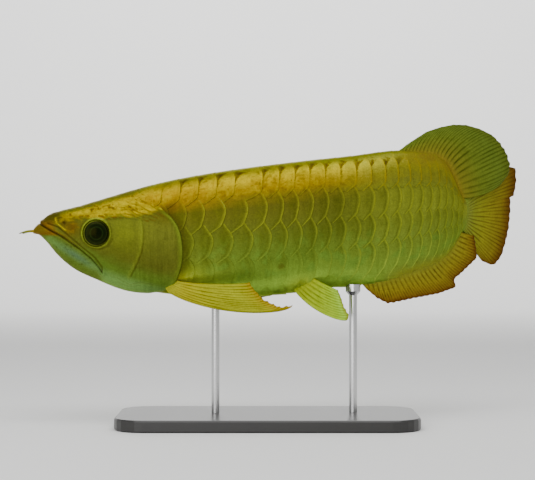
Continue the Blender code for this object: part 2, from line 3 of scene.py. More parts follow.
import bmesh
import bpy
import numpy as np
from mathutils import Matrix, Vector


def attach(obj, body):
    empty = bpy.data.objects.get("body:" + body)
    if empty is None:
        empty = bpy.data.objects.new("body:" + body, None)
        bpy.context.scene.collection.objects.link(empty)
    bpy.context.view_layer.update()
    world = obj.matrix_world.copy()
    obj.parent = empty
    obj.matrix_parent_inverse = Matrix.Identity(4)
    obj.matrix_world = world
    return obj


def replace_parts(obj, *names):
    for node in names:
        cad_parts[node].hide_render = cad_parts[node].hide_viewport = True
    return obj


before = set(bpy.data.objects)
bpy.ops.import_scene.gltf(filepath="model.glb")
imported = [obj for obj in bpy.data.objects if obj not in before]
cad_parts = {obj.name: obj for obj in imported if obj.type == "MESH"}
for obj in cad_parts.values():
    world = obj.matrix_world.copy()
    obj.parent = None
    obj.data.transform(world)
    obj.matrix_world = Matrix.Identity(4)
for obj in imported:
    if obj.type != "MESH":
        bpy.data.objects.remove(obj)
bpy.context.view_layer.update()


# Skin of the body
# The soft skin of trunk and tail, which the scales grow from. It is a smooth tube through the lines of the
# back, the belly and the half width, and starts inside the gill covers. The fish is drawn straight, with x
# from snout to tail, z up and its left side facing -y, and its tail is then bent to its right.
SWIM_HEIGHT = 0.185
BEND_START = 0.040
BEND_RADIUS = 0.266
BEND_ANGLE = math.radians(38)
JAW_TIP = -0.2340
BODY_END = BEND_START + BEND_RADIUS * BEND_ANGLE
# The body's lines, as points of (x, value)
TOP_LINE = (
    (JAW_TIP, 0.0105), (-0.2315, 0.0137), (-0.2275, 0.0165), (-0.2225, 0.0220), (-0.2175, 0.0257),
    (-0.2075, 0.0290), (-0.1875, 0.0342), (-0.1375, 0.0490), (-0.1075, 0.0572), (-0.0675, 0.0652),
    (-0.0175, 0.0727), (0.0325, 0.0788), (0.0830, 0.0844), (0.1360, 0.0908), (0.1600, 0.0903),
    (0.1820, 0.0870), (0.1916, 0.0812), (0.1996, 0.0701), (0.2108, 0.0507), (BODY_END, 0.0462),
)
BOTTOM_LINE = (
    (JAW_TIP, 0.0065), (-0.2275, 0.0047), (-0.2216, -0.0008), (-0.2100, -0.0146), (-0.1985, -0.0250),
    (-0.1700, -0.0399), (-0.1410, -0.0508), (-0.1070, -0.0540), (-0.0675, -0.0570), (-0.0275, -0.0585),
    (0.0225, -0.0546), (0.0525, -0.0500), (0.0942, -0.0465), (0.1230, -0.0422), (0.1510, -0.0346),
    (0.1820, -0.0246), (0.1983, -0.0124), (0.2080, 0.0000), (BODY_END, 0.0088),
)
HALF_WIDTH = (
    (JAW_TIP, 0.0040), (-0.2315, 0.0080), (-0.2275, 0.0108), (-0.2220, 0.0134), (-0.2150, 0.0157),
    (-0.2050, 0.0180), (-0.1900, 0.0208), (-0.1710, 0.0238), (-0.1500, 0.0265), (-0.1000, 0.0303),
    (-0.0400, 0.0312), (0.0200, 0.0300), (0.0600, 0.0275), (0.1000, 0.0235), (0.1400, 0.0180),
    (0.1700, 0.0135), (0.1950, 0.0090), (BODY_END, 0.0055),
)
WIDEST_LEVEL = (
    (JAW_TIP, 0.0085), (-0.2000, 0.0110), (-0.1700, 0.0080), (-0.1300, 0.0050), (-0.0500, 0.0110),
    (0.0500, 0.0190), (0.1500, 0.0300), (0.2000, 0.0290), (BODY_END, 0.0275),
)
BACK_SQUARENESS = (
    (JAW_TIP, 2.0), (-0.2000, 2.5), (-0.1000, 2.6), (0.0500, 2.4), (0.1400, 1.9), (BODY_END, 1.8),
)
BELLY_SQUARENESS = (
    (JAW_TIP, 2.0), (-0.1700, 1.8), (-0.0500, 2.1), (0.0800, 1.9), (0.1500, 1.7), (BODY_END, 1.8),
)
# The gill covers' edge, as points of (turn, x), where turn goes from 0 at the back to 1 at the belly
GILL_EDGE = (
    (0.00, -0.1080), (0.20, -0.1075), (0.31, -0.1045), (0.43, -0.0920), (0.58, -0.0865),
    (0.77, -0.0905), (0.88, -0.0980), (1.00, -0.1130),
)
BODY_ROWS, BODY_COLUMNS = 120, 97
INSIDE_GILLS = 0.012
UNDER_SCALES = 0.0024
YELLOW_SHEEN = (1.0, 0.84, 0.08)
# Colours from back to belly. The gold of the upper flank is strongest in front and fades towards the tail.
# The upper flank's gold is partly its own colour and partly a painted highlight of the light from above.
TURN_STOPS = (0.00, 0.06, 0.10, 0.14, 0.20, 0.245, 0.29, 0.36, 0.50, 0.66, 0.80, 0.90, 1.00)
# The belly stops in front are its own pale green, raised partly as painted light against the pectoral fin's
# shade.
FRONT_COLOURS = (
    (88, 98, 16), (102, 114, 14), (118, 120, 10), (144, 128, 1), (138, 114, 0), (144, 116, 1), (136, 109, 16),
    (73, 69, 18), (67, 72, 20), (92, 104, 31), (130, 144, 40), (156, 184, 48), (126, 156, 40),
)
MIDDLE_COLOURS = (
    (92, 104, 20), (118, 126, 22), (138, 136, 14), (132, 120, 2), (136, 114, 0), (140, 114, 2), (109, 96, 22),
    (77, 75, 22), (76, 82, 25), (88, 109, 34), (112, 142, 47), (150, 190, 64), (104, 138, 30),
)
TAIL_COLOURS = (
    (110, 124, 27), (128, 128, 38), (136, 133, 38), (130, 128, 36), (120, 120, 38), (114, 117, 40),
    (123, 129, 42), (132, 140, 45), (126, 136, 44), (113, 129, 43), (108, 130, 43), (103, 127, 42),
    (130, 170, 54),
)


def along(line, at):
    """The value of a (station, value) line, on a smooth curve through its points."""
    stations = np.array([point[0] for point in line])
    values = np.array([point[1] for point in line], float)
    slopes = np.gradient(values, stations)
    at = np.clip(at, stations[0], stations[-1])
    i = np.clip(np.searchsorted(stations, at) - 1, 0, len(stations) - 2)
    width = stations[i + 1] - stations[i]
    t = (at - stations[i]) / width
    return (
        values[i] * (1 + 2 * t) * (1 - t) ** 2
        + slopes[i] * width * t * (1 - t) ** 2
        + values[i + 1] * t * t * (3 - 2 * t)
        - slopes[i + 1] * width * t * t * (1 - t)
    )


def section_table(stations, turns):
    """Distance from the middle and height of the left side, at each share of the way from back to belly."""
    angle = np.linspace(0, math.pi, 241)
    upper = angle < math.pi / 2
    table = []
    for x in stations:
        top, bottom, level = along(TOP_LINE, x), along(BOTTOM_LINE, x), along(WIDEST_LEVEL, x)
        power = 2 / np.where(upper, along(BACK_SQUARENESS, x), along(BELLY_SQUARENESS, x))
        across = along(HALF_WIDTH, x) * np.sin(angle).clip(0) ** power
        rise = np.sign(np.cos(angle)) * np.abs(np.cos(angle)) ** power
        height = level + np.where(upper, top - level, level - bottom) * rise
        length = np.concatenate(([0.0], np.cumsum(np.hypot(np.diff(across), np.diff(height)))))
        share = length / length[-1]
        table.append(np.stack((np.interp(turns, share, across), np.interp(turns, share, height)), -1))
    return np.array(table)


STATIONS = np.linspace(JAW_TIP, BODY_END, 901)
TURNS = np.linspace(0, 1, 301)
SECTIONS = section_table(STATIONS, TURNS)


def smooth_skin(x, turn):
    """Points on the smooth body. A turn below 0 is on the fish's right side."""
    turn = (turn + 1) % 2 - 1
    i = np.clip((x - STATIONS[0]) / (STATIONS[1] - STATIONS[0]), 0, len(STATIONS) - 1.001)
    j = np.clip(np.abs(turn) * (len(TURNS) - 1), 0, len(TURNS) - 1.001)
    i0, j0 = i.astype(int), j.astype(int)
    fi, fj = (i - i0)[..., None], (j - j0)[..., None]
    front = SECTIONS[i0, j0] * (1 - fj) + SECTIONS[i0, j0 + 1] * fj
    rear = SECTIONS[i0 + 1, j0] * (1 - fj) + SECTIONS[i0 + 1, j0 + 1] * fj
    section = front * (1 - fi) + rear * fi
    side = np.where(turn >= 0, -1.0, 1.0)
    return np.stack((x, side * section[..., 0], section[..., 1]), -1)


def skin_points(x, turn, lift=0.0):
    """Points on the body, lifted straight off it by lift."""
    step_x, step_turn = 0.001, 0.008
    x, turn, lift = np.broadcast_arrays(np.asarray(x, float), turn, lift)
    lengthways = smooth_skin(x + step_x, turn) - smooth_skin(x - step_x, turn)
    round_it = smooth_skin(x, turn + step_turn) - smooth_skin(x, turn - step_turn)
    outward = np.cross(round_it, lengthways)
    outward /= np.linalg.norm(outward, axis=-1, keepdims=True)
    return smooth_skin(x, turn) + lift[..., None] * outward


def rising(value, start, end):
    """0 up to start, 1 from end, smooth between."""
    t = np.clip((value - start) / (end - start), 0, 1)
    return t * t * (3 - 2 * t)


def colour(red, green, blue):
    """A colour in linear light from its 0 to 255 screen values."""
    screen = np.array((red, green, blue)) / 255
    return np.where(screen <= 0.04045, screen / 12.92, ((screen + 0.055) / 1.055) ** 2.4)


def coated(paint, *coats):
    """The paint with coats laid over it in turn, each a tint and how strongly it covers."""
    for tint, share in coats:
        paint = paint + (tint - paint) * np.clip(share, 0, 1)[..., None]
    return paint


def blended(places, colours, at):
    """The colour at each place between the stops of a row of colours."""
    linear = np.array([colour(*stop) for stop in colours])
    return np.stack([np.interp(at, places, linear[:, channel]) for channel in range(3)], -1)


SHADOW = colour(46, 42, 6)


def body_paint(x, turn):
    """The ground colour of the body, in front, in the middle and at the tail."""
    turn = np.abs((turn + 1) % 2 - 1)
    front, tail = rising(-x, 0.01, 0.09)[..., None], rising(x, 0.03, 0.14)[..., None]
    paint = blended(TURN_STOPS, MIDDLE_COLOURS, turn) * (1 - front - tail)
    paint = paint + blended(TURN_STOPS, FRONT_COLOURS, turn) * front
    return paint + blended(TURN_STOPS, TAIL_COLOURS, turn) * tail


def body_patch():
    """The skin under the scales, with its paint. Towards the tail fin it comes up to the surface."""
    share, turn = np.meshgrid(np.linspace(0, 1, BODY_ROWS), np.linspace(-1, 1, BODY_COLUMNS), indexing="ij")
    gill = along(GILL_EDGE, np.abs(turn))
    x = gill - INSIDE_GILLS + share * (BODY_END - gill + INSIDE_GILLS)
    depth = -UNDER_SCALES + 0.002 * rising(x, BODY_END - 0.012, BODY_END)
    # Painted shade: the skin is darker where it lies under the scales, with a painted shadow under the gill
    # covers.
    dark = 0.55 + 0.40 * rising(x, 0.185, 0.200)
    paint = coated(body_paint(x, turn) * dark[..., None], (SHADOW, rising(gill + 0.006 - x, 0, 0.006)))
    return skin_points(x, turn, depth), paint


def set_inputs(node, values):
    for socket, value in values.items():
        node.inputs[socket].default_value = value


def painted_material(name, roughness, metallic, gloss, mottle, fine, bump):
    """A satin surface in its painted colours, with mottling of about fine metres across."""
    material = bpy.data.materials.new(name)
    material.use_nodes = True
    nodes, links = material.node_tree.nodes, material.node_tree.links
    shader = nodes["Principled BSDF"]
    set_inputs(shader, {"Roughness": roughness, "Metallic": metallic, "Specular IOR Level": gloss})
    set_inputs(shader, {"Specular Tint": (*YELLOW_SHEEN, 1)})
    paint = nodes.new("ShaderNodeAttribute")
    paint.attribute_name = "paint"
    place = nodes.new("ShaderNodeTexCoord")
    noise = nodes.new("ShaderNodeTexNoise")
    set_inputs(noise, {"Scale": 1 / fine, "Detail": 4})
    shade = nodes.new("ShaderNodeMapRange")
    set_inputs(shade, {"From Min": 0.3, "From Max": 0.7, "To Min": 1 - mottle, "To Max": 1 + mottle})
    mix = nodes.new("ShaderNodeVectorMath")
    mix.operation = "SCALE"
    rough = nodes.new("ShaderNodeBump")
    set_inputs(rough, {"Strength": bump, "Distance": 0.0006})
    links.new(place.outputs["Object"], noise.inputs["Vector"])
    links.new(noise.outputs["Fac"], shade.inputs["Value"])
    links.new(paint.outputs["Color"], mix.inputs[0])
    links.new(shade.outputs["Result"], mix.inputs["Scale"])
    links.new(mix.outputs["Vector"], shader.inputs["Base Color"])
    links.new(noise.outputs["Fac"], rough.inputs["Height"])
    links.new(rough.outputs["Normal"], shader.inputs["Normal"])
    return material


skin_material = painted_material(
    "arowana_skin", roughness=0.42, metallic=0.45, gloss=0.08, mottle=0.16, fine=0.0016, bump=0.12
)


# Skin of the head
# Thin skin drawn tight over bone, so that its plates, lips and eye rims stand out. It ends in the free edge
# of the gill covers, which lies over the start of the body's skin. The two are joined in one piece.
HEAD_ROWS, HEAD_COLUMNS = 300, 281
EYE_CENTRE = (-0.1686, 0.0067)
EYE_SOCKET, EYE_RIM, EYE_PALE_RIM, EYE_SHADE = 0.0137, 0.0142, 0.0141, 0.0134
NOSTRIL = (-0.2017, 0.0172)
SOCKET_DEPTH, NOSTRIL_DEPTH = 0.005, 0.0018
LIP_HEIGHT, MOUTH_DEPTH = 0.001, 0.0015
GILL_FLAP, GILL_THICKNESS = 0.0036, 0.0015
# The head's lines in the side view, as points of (x, z)
MOUTH_LINE = (
    (-0.2290, 0.0200), (-0.2267, 0.0161), (-0.2175, 0.0109), (-0.2082, 0.0062), (-0.2008, 0.0020),
    (-0.1851, -0.0090), (-0.1736, -0.0186), (-0.1668, -0.0268), (-0.1640, -0.0320),
)
UPPER_JAW_EDGE = (
    (-0.2180, 0.0165), (-0.2068, 0.0125), (-0.1960, 0.0037), (-0.1849, -0.0049), (-0.1700, -0.0173),
    (-0.1630, -0.0270), (-0.1640, -0.0320),
)
SNOUT_RIDGE = ((-0.2097, 0.0217), (-0.2088, 0.0171), (-0.2042, 0.0137), (-0.1993, 0.0099))
CHEEK_LINE = (
    (-0.1228, 0.0200), (-0.1212, 0.0100), (-0.1215, -0.0020), (-0.1238, -0.0130), (-0.1280, -0.0230),
    (-0.1350, -0.0360),
)
EYE_CREASE = (
    (-0.1800, -0.0030), (-0.1740, -0.0075), (-0.1650, -0.0095), (-0.1570, -0.0070), (-0.1525, 0.0000),
)
BROW_LINE = (
    (-0.1847, 0.0228), (-0.1748, 0.0242), (-0.1650, 0.0236), (-0.1551, 0.0216), (-0.1400, 0.0232),
    (-0.1256, 0.0203),
)
JAW_BAND = (
    (-0.2168, 0.0000), (-0.1950, -0.0123), (-0.1765, -0.0233), (-0.1650, -0.0296), (-0.1560, -0.0330),
)
WRINKLES = (
    ((-0.1506, 0.0335), (-0.1364, 0.0318), (-0.1238, 0.0271), (-0.1080, 0.0217)),
    ((-0.1440, 0.0300), (-0.1364, 0.0300), (-0.1238, 0.0231), (-0.1098, 0.0187)),
    ((-0.1335, 0.0358), (-0.1250, 0.0335), (-0.1177, 0.0296), (-0.1020, 0.0231)),
    ((-0.1400, 0.0265), (-0.1330, 0.0250), (-0.1250, 0.0205), (-0.1170, 0.0190)),
    ((-0.1250, 0.0375), (-0.1160, 0.0350), (-0.1060, 0.0290)),
    ((-0.1560, -0.0350), (-0.1470, -0.0385), (-0.1370, -0.0440), (-0.1240, -0.0425), (-0.1140, -0.0445)),
    ((-0.1480, -0.0420), (-0.1380, -0.0462), (-0.1260, -0.0455)),
    ((-0.1880, 0.0345), (-0.1810, 0.0328), (-0.1740, 0.0350)),
)
# How far the skin stands up or sinks along a line, and how wide
LINE_RELIEF = (
    (UPPER_JAW_EDGE, -0.0006, 0.0008), (SNOUT_RIDGE, 0.0004, 0.0013), (EYE_CREASE, -0.0005, 0.0010),
    (BROW_LINE, -0.0004, 0.0012), *((wrinkle, -0.0003, 0.0008) for wrinkle in WRINKLES),
)
# Gold starts above the one line and green below the other
GOLD_FLOOR = (
    (JAW_TIP, 0.0190), (-0.2104, 0.0195), (-0.1820, 0.0225), (-0.1630, 0.0235), (-0.1390, 0.0262),
    (-0.1200, 0.0300), (-0.1050, 0.0340),
)
GREEN_CEILING = (
    (JAW_TIP, 0.0060), (-0.2000, 0.0000), (-0.1700, -0.0150), (-0.1400, -0.0260), (-0.1000, -0.0380),
)
# Soft spots of colour and of painted shadow, as the middle (x, z) and the half size
CHEEK_SPOT = ((-0.140, 0.004), (0.020, 0.022))
GILL_TOP_SHADOW_SPOT = ((-0.099, 0.027), (0.014, 0.010))
SNOUT_SPOT = ((-0.193, 0.0125), (0.009, 0.008))
HEAD_GOLD, HEAD_TOP, HEAD_OLIVE = colour(142, 124, 0), colour(96, 98, 14), colour(80, 84, 26)
HEAD_GREEN, THROAT, JAW_GREEN = colour(82, 108, 34), colour(102, 140, 66), colour(82, 104, 34)
LIP, JAW_TIP_ORANGE, JAW_BLUE = colour(104, 74, 10), colour(110, 92, 18), colour(76, 104, 70)
CREASE_SHADE_AND_SPECKS, PALE_RIM_AND_HIGHLIGHT, BRIGHT_YELLOW = colour(48, 40, 6), colour(122, 134, 36), colour(154, 138, 0)
DARK_GOLD, GILL_GREEN, SNOUT_OLIVE = colour(78, 56, 6), colour(92, 108, 28), colour(68, 66, 10)
CHEEK_YELLOW, GILL_TOP_SHADOW = colour(88, 94, 24), colour(72, 62, 12)


def swell(distance, width):
    """1 in the middle, falling off softly over the width."""
    return np.exp(-((distance / width) ** 2))


def spot(across, up, place):
    """1 in the middle of a soft oval spot, falling off around it."""
    (middle_across, middle_up), (half_across, half_up) = place
    return swell(across - middle_across, half_across) * swell(up - middle_up, half_up)


def distance_to(line, x, z):
    """Distance in the side view from points to a line of (x, z) points, and whether they lie above it."""
    nearest, above = np.full(np.shape(x), np.inf), np.zeros(np.shape(x), bool)
    for (x0, z0), (x1, z1) in zip(line, line[1:]):
        length = (x1 - x0) ** 2 + (z1 - z0) ** 2
        t = np.clip(((x - x0) * (x1 - x0) + (z - z0) * (z1 - z0)) / length, 0, 1)
        distance = np.hypot(x - x0 - t * (x1 - x0), z - z0 - t * (z1 - z0))
        side = (x1 - x0) * (z - z0) - (z1 - z0) * (x - x0) > 0
        above = np.where(distance < nearest, side, above)
        nearest = np.minimum(nearest, distance)
    return nearest, above


def grain(across, along_it, seed):
    """Smooth random values from -1 to 1, one bump a unit, with finer ones on top."""
    table = np.random.default_rng(seed).uniform(-1, 1, (61, 61))
    total = 0
    for part, share in ((1, 0.65), (2.3, 0.35)):
        i, j = np.floor(across * part), np.floor(along_it * part)
        fi, fj = rising(across * part - i, 0, 1), rising(along_it * part - j, 0, 1)
        i, j = i.astype(int) % 60, j.astype(int) % 60
        near = table[i, j] * (1 - fj) + table[i, j + 1] * fj
        far = table[i + 1, j] * (1 - fj) + table[i + 1, j + 1] * fj
        total = total + share * (near * (1 - fi) + far * fi)
    return total


def away_from(point, x, z):
    return np.hypot(x - point[0], z - point[1])


def head_relief(x, z):
    """How far the head's skin stands off the smooth body."""
    eye = away_from(EYE_CENTRE, x, z)
    mouth, upper = distance_to(MOUTH_LINE, x, z)
    cheek, ahead = distance_to(CHEEK_LINE, x, z)
    relief = LIP_HEIGHT * swell(mouth - 0.0022, 0.0016) - MOUTH_DEPTH * swell(mouth, 0.0006)
    relief += 0.0006 * upper * swell(mouth, 0.0055)
    for line, height, width in LINE_RELIEF:
        relief += height * swell(distance_to(line, x, z)[0], width)
    relief += 0.0011 * swell(eye - EYE_RIM, 0.0014)
    relief -= SOCKET_DEPTH * rising(EYE_SOCKET - eye, 0.0, 0.0018)
    relief += 0.0003 * swell(cheek - 0.0016, 0.002) * ~ahead - 0.0002 * swell(cheek, 0.0012)
    relief -= NOSTRIL_DEPTH * swell(away_from(NOSTRIL, x, z), 0.0012)
    rough = rising(z, along(GOLD_FLOOR, x) - 0.004, along(GOLD_FLOOR, x) + 0.002)
    return relief + 0.00022 * rough * grain(x / 0.004, z / 0.002, 4)


def head_ground(x, z, patches, flecks):
    """Olive cheeks, green below, flecked gold above, an olive top and painted shadow at the gill cover's top.
    """
    top, floor, ceiling = along(TOP_LINE, x), along(GOLD_FLOOR, x), along(GREEN_CEILING, x)
    soft = 0.003 + 0.005 * rising(x, -0.150, -0.115)
    gold = rising(z + 0.002 * patches + 0.0012 * flecks, floor - soft, floor + 0.002)
    return coated(
        np.broadcast_to(HEAD_OLIVE, (*x.shape, 3)),
        (CHEEK_YELLOW, 0.8 * spot(x, z, CHEEK_SPOT)),
        # Painted shadow at the top rear of the gill cover
        (GILL_TOP_SHADOW, 0.8 * spot(x, z, GILL_TOP_SHADOW_SPOT)),
        (HEAD_GREEN, 0.9 * rising(ceiling - z + 0.003 * patches, -0.010, 0.008)),
        (THROAT, rising(ceiling - z, 0.006, 0.018)),
        (HEAD_GOLD, gold),
        (BRIGHT_YELLOW, gold * rising(0.6 * flecks + patches, -0.25, 0.35)),
        (DARK_GOLD, 0.8 * gold * rising(-flecks - 0.5 * patches, 0.36, 0.62)),
        (HEAD_TOP, rising(z + 0.0025 * flecks, top - 0.0075, top - 0.0025)),
    )


def jaw_paint(paint, x, z, specks):
    """The green lower jaw with its pale, bluish band, the brown lips and the orange tip."""
    mouth, upper = distance_to(MOUTH_LINE, x, z)
    lower, band = ~upper, distance_to(JAW_BAND, x, z)[0]
    jaw = lower * rising(-x, 0.160, 0.170)
    tip = lower * rising(-x, 0.202, 0.210) * rising(z, 0.003, 0.0066)
    return coated(
        paint,
        (JAW_GREEN, jaw),
        (THROAT, 0.6 * jaw * swell(band, 0.0042)),
        (JAW_BLUE, 0.9 * lower * swell(band, 0.0034) * swell(x + 0.190, 0.016)),
        (CREASE_SHADE_AND_SPECKS, 0.5 * lower * rising(specks, 0.30, 0.6) * rising(-x, 0.165, 0.180)),
        (LIP, swell(mouth, 0.0026) * (0.35 + 0.55 * upper) * rising(-x, 0.175, 0.212)),
        (LIP, 0.9 * upper * rising(-x, 0.206, 0.216)),
        (DARK_GOLD, 0.6 * upper * rising(-x, 0.218, 0.224)),
        (SNOUT_OLIVE, 0.9 * upper * rising(-x, 0.202, 0.209) * rising(z, 0.015, 0.022)),
        (LIP, tip),
        (JAW_TIP_ORANGE, tip * rising(-x, 0.212, 0.223) * rising(z, 0.005, 0.0095)),
    )


def snout_paint(paint, x, z, patches, flecks, specks):
    """The brown side of the snout, the nostril and the bright ridge before it."""
    snout = distance_to(MOUTH_LINE, x, z)[1] * spot(x, z, SNOUT_SPOT)
    ridge = distance_to(SNOUT_RIDGE, x + 0.0008 * specks, z + 0.0006 * patches)[0]
    return coated(
        paint,
        (DARK_GOLD, 0.9 * snout * (1 + 0.4 * flecks)),
        (HEAD_GOLD, 0.2 * snout * rising(flecks, 0.15, 0.60)),
        (DARK_GOLD, 0.7 * swell(away_from(NOSTRIL, x, z), 0.0042)),
        (BRIGHT_YELLOW, swell(ridge, 0.0008) * (0.7 + 0.6 * specks)),
    )


def line_paint(paint, x, z, patches, flecks):
    """The dark brow, the eye's pale rim, painted highlights on rims and painted shade in creases and
    wrinkles.
    """
    brow = swell(distance_to(BROW_LINE, x, z)[0], 0.0018)
    # Painted highlight: the eye's pale rim is brighter on its upper front, where the light falls.
    lit_upper_front = rising(EYE_CENTRE[0] - x + z - EYE_CENTRE[1], -0.006, 0.016)
    rim = swell(away_from(EYE_CENTRE, x, z) - EYE_PALE_RIM, 0.0012) * (0.45 + 0.45 * lit_upper_front)
    paint = coated(
        paint,
        (DARK_GOLD, 0.9 * brow * rising(flecks, -0.2, 0.3) * rising(-x, 0.130, 0.150)),
        (PALE_RIM_AND_HIGHLIGHT, rim * (1 + 0.4 * flecks)),
        # Painted shade in the mouth's groove
        (CREASE_SHADE_AND_SPECKS, 0.8 * swell(distance_to(MOUTH_LINE, x, z)[0], 0.0007)),
    )
    # Painted shade along the upper jaw's edge, the cheek line and the crease under the eye
    cheek_shade = 0.12 + 0.5 * rising(-z, 0.0, 0.012)
    for line, depth in ((UPPER_JAW_EDGE, 0.7), (CHEEK_LINE, cheek_shade), (EYE_CREASE, 0.4)):
        paint = coated(paint, (CREASE_SHADE_AND_SPECKS, depth * swell(distance_to(line, x, z)[0], 0.0008)))
    # Painted shade in the wrinkles' grooves
    for line in WRINKLES:
        wrinkle_shade = swell(distance_to(line, x, z + 0.0012 * patches)[0], 0.0006)
        paint = coated(paint, (DARK_GOLD, (0.5 + 0.5 * patches) * wrinkle_shade * (1 - 0.6 * rising(-z, 0.0, 0.01))))
    # Painted highlight along the raised ridge behind the cheek line
    cheek, ahead = distance_to(CHEEK_LINE, x, z)
    return coated(paint, (PALE_RIM_AND_HIGHLIGHT, 0.22 * swell(cheek - 0.002, 0.0018) * ~ahead))


def head_paint(x, z):
    """All the head's colours, with streaks on the gill covers and painted shade inside the eye socket."""
    patches, flecks = grain(x / 0.009, z / 0.0045, 1), grain(x / 0.003, z / 0.0016, 2)
    specks, streaks = grain(x / 0.0016, z / 0.0012, 5), grain(x / 0.0014, z / 0.030, 3)
    paint = head_ground(x, z, patches, flecks)
    paint = jaw_paint(paint, x, z, specks)
    paint = snout_paint(paint, x, z, patches, flecks, specks)
    paint = line_paint(paint, x, z, patches, flecks)
    on_gills = rising(x, -0.150, -0.125) * rising(-z, -0.022, -0.016)
    paint = paint * (1 + 0.20 * streaks * on_gills)[..., None]
    paint = paint * (1 + 0.08 * patches + 0.08 * flecks)[..., None]
    return coated(paint, (SHADOW, rising(EYE_SHADE - away_from(EYE_CENTRE, x, z), 0, 0.001)))


def head_patch():
    """The head's skin in rings from the jaw's tip to the gill edge, where it turns under."""
    rings = np.linspace(0, 1, HEAD_ROWS) ** 1.15
    share, turn = np.meshgrid(rings, np.linspace(-1, 1, HEAD_COLUMNS), indexing="ij")
    free = rising(np.abs(turn), 0.26, 0.38) * (1 - rising(np.abs(turn), 0.84, 0.98))
    gill = along(GILL_EDGE, np.abs(turn)) + GILL_FLAP * free
    x = JAW_TIP + share * (gill - JAW_TIP)
    z = smooth_skin(x, turn)[..., 2]
    behind = gill - x
    rim = rising(-behind, -0.020, -0.002)
    relief = head_relief(x, z) * (1 - rim) + 0.001 * free * swell(behind - 0.0015, 0.0035)
    relief = relief - 0.0012 * (1 - free) * rising(-behind, -0.008, 0)
    relief = relief * np.clip(share * 12, 0, 1)
    turned_in = GILL_THICKNESS * rising(share, 0.996, 1.0)
    on_nape = 1 - rising(np.abs(turn), 0.22, 0.30)
    paint = coated(
        head_paint(x, z),
        (body_paint(x, turn), rising(-behind, -0.022, -0.004) * on_nape),
        (GILL_GREEN, 0.65 * free * swell(behind - 0.002, 0.0024)),
    )
    points = skin_points(x, turn, relief - turned_in)
    points[0] = points[0].mean(axis=0) + (-0.0004, 0, 0)
    under = skin_points(x[-1] - 0.0025, turn[-1], -0.0026)[None]
    under_paint = np.broadcast_to(SHADOW, (1, HEAD_COLUMNS, 3))
    return np.concatenate((points, under)), np.concatenate((paint, under_paint))


def placed(points):
    """Where points of the straight fish stand once it swims at its height with its tail bent away."""
    angle = np.clip((points[..., 0] - BEND_START) / BEND_RADIUS, 0, BEND_ANGLE)
    beyond = np.maximum(points[..., 0] - BODY_END, 0)
    x = np.minimum(points[..., 0], BEND_START) + BEND_RADIUS * np.sin(angle) + beyond * np.cos(angle)
    y = BEND_RADIUS * (1 - np.cos(angle)) + beyond * np.sin(angle)
    return np.stack((
        x - points[..., 1] * np.sin(angle), y + points[..., 1] * np.cos(angle), points[..., 2] + SWIM_HEIGHT
    ), -1)


def grid_piece(name, patches, material):
    """A smooth piece from patches, each a grid of points on the straight fish with its paint and the
    rectangle of the OFBake map that it fills."""
    points, paints, faces, corners = [], [], [], []
    for grid, paint, (left, low, right, high) in patches:
        rows, columns = grid.shape[:2]
        index = np.arange(rows * columns).reshape(rows, columns) + sum(len(part) for part in points)
        quads = np.stack((index[:-1, :-1], index[:-1, 1:], index[1:, 1:], index[1:, :-1]), -1).reshape(-1, 4)
        u, v = np.meshgrid(np.linspace(left, right, columns), np.linspace(low, high, rows))
        uv = np.stack((u, v), -1)
        corners.append(np.stack((uv[:-1, :-1], uv[:-1, 1:], uv[1:, 1:], uv[1:, :-1]), 2).reshape(-1, 2))
        points.append(placed(grid).reshape(-1, 3))
        paints.append(paint.reshape(-1, 3))
        faces.append(quads)
    mesh = bpy.data.meshes.new(name)
    mesh.from_pydata(np.concatenate(points).tolist(), [], np.concatenate(faces).tolist())
    mesh.uv_layers.new(name="OFBake").uv.foreach_set("vector", np.concatenate(corners).ravel())
    colours = np.concatenate(paints)
    layer = mesh.color_attributes.new("paint", "FLOAT_COLOR", "POINT")
    layer.data.foreach_set("color", np.column_stack((colours, np.ones(len(colours)))).ravel())
    mesh.shade_smooth()
    mesh.materials.append(material)
    build = bmesh.new()
    build.from_mesh(mesh)
    bmesh.ops.remove_doubles(build, verts=build.verts, dist=0.000002)
    build.to_mesh(mesh)
    build.free()
    piece = bpy.data.objects.new(name, mesh)
    bpy.context.scene.collection.objects.link(piece)
    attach(piece, "root")
    return piece


skin_patches = [(*head_patch(), (0.01, 0.01, 0.99, 0.69)), (*body_patch(), (0.01, 0.71, 0.99, 0.99))]
skin = grid_piece("skin", skin_patches, skin_material)
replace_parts(skin, "head", "lower_jaw", "trunk", "tail_stalk")


# Scales
# Large stiff scales in rows along the body, each a thin plate rooted under the one before it, with a free
# rear edge that is thicker and paler. The first row below the back has rounded, brighter scales, and dark
# notches between them. One column behind the gill covers is wider than its neighbours.
SCALE_ROWS = 5
SCALE_COLUMNS = 23
# Where the rows lie, as points of (row, turn), and by how many columns each is shifted
ROW_TURNS = (
    (0.0, 0.000), (0.5, 0.070), (1.5, 0.262), (2.5, 0.460), (3.5, 0.645), (4.5, 0.850), (5.0, 1.000),
)
ROW_SHIFTS = ((0.0, -0.28), (2.0, -0.28), (3.0, -0.58), (4.0, -0.45), (5.0, -0.45))
WIDE_COLUMN = 5
WIDER_BY = 0.0095
PLATE_STEPS, PLATE_LEVELS = 24, 41
SLOPE = 0.0009
OVERLAP = 0.0005
PLATE_LENGTH, PLATE_ROOT, ROOT_NARROWED = 0.016, -0.86, 0.8
EDGE_REACH, EDGE_SKIRT = 0.44, 0.0009
FLATTER_AT_TAIL = 0.8
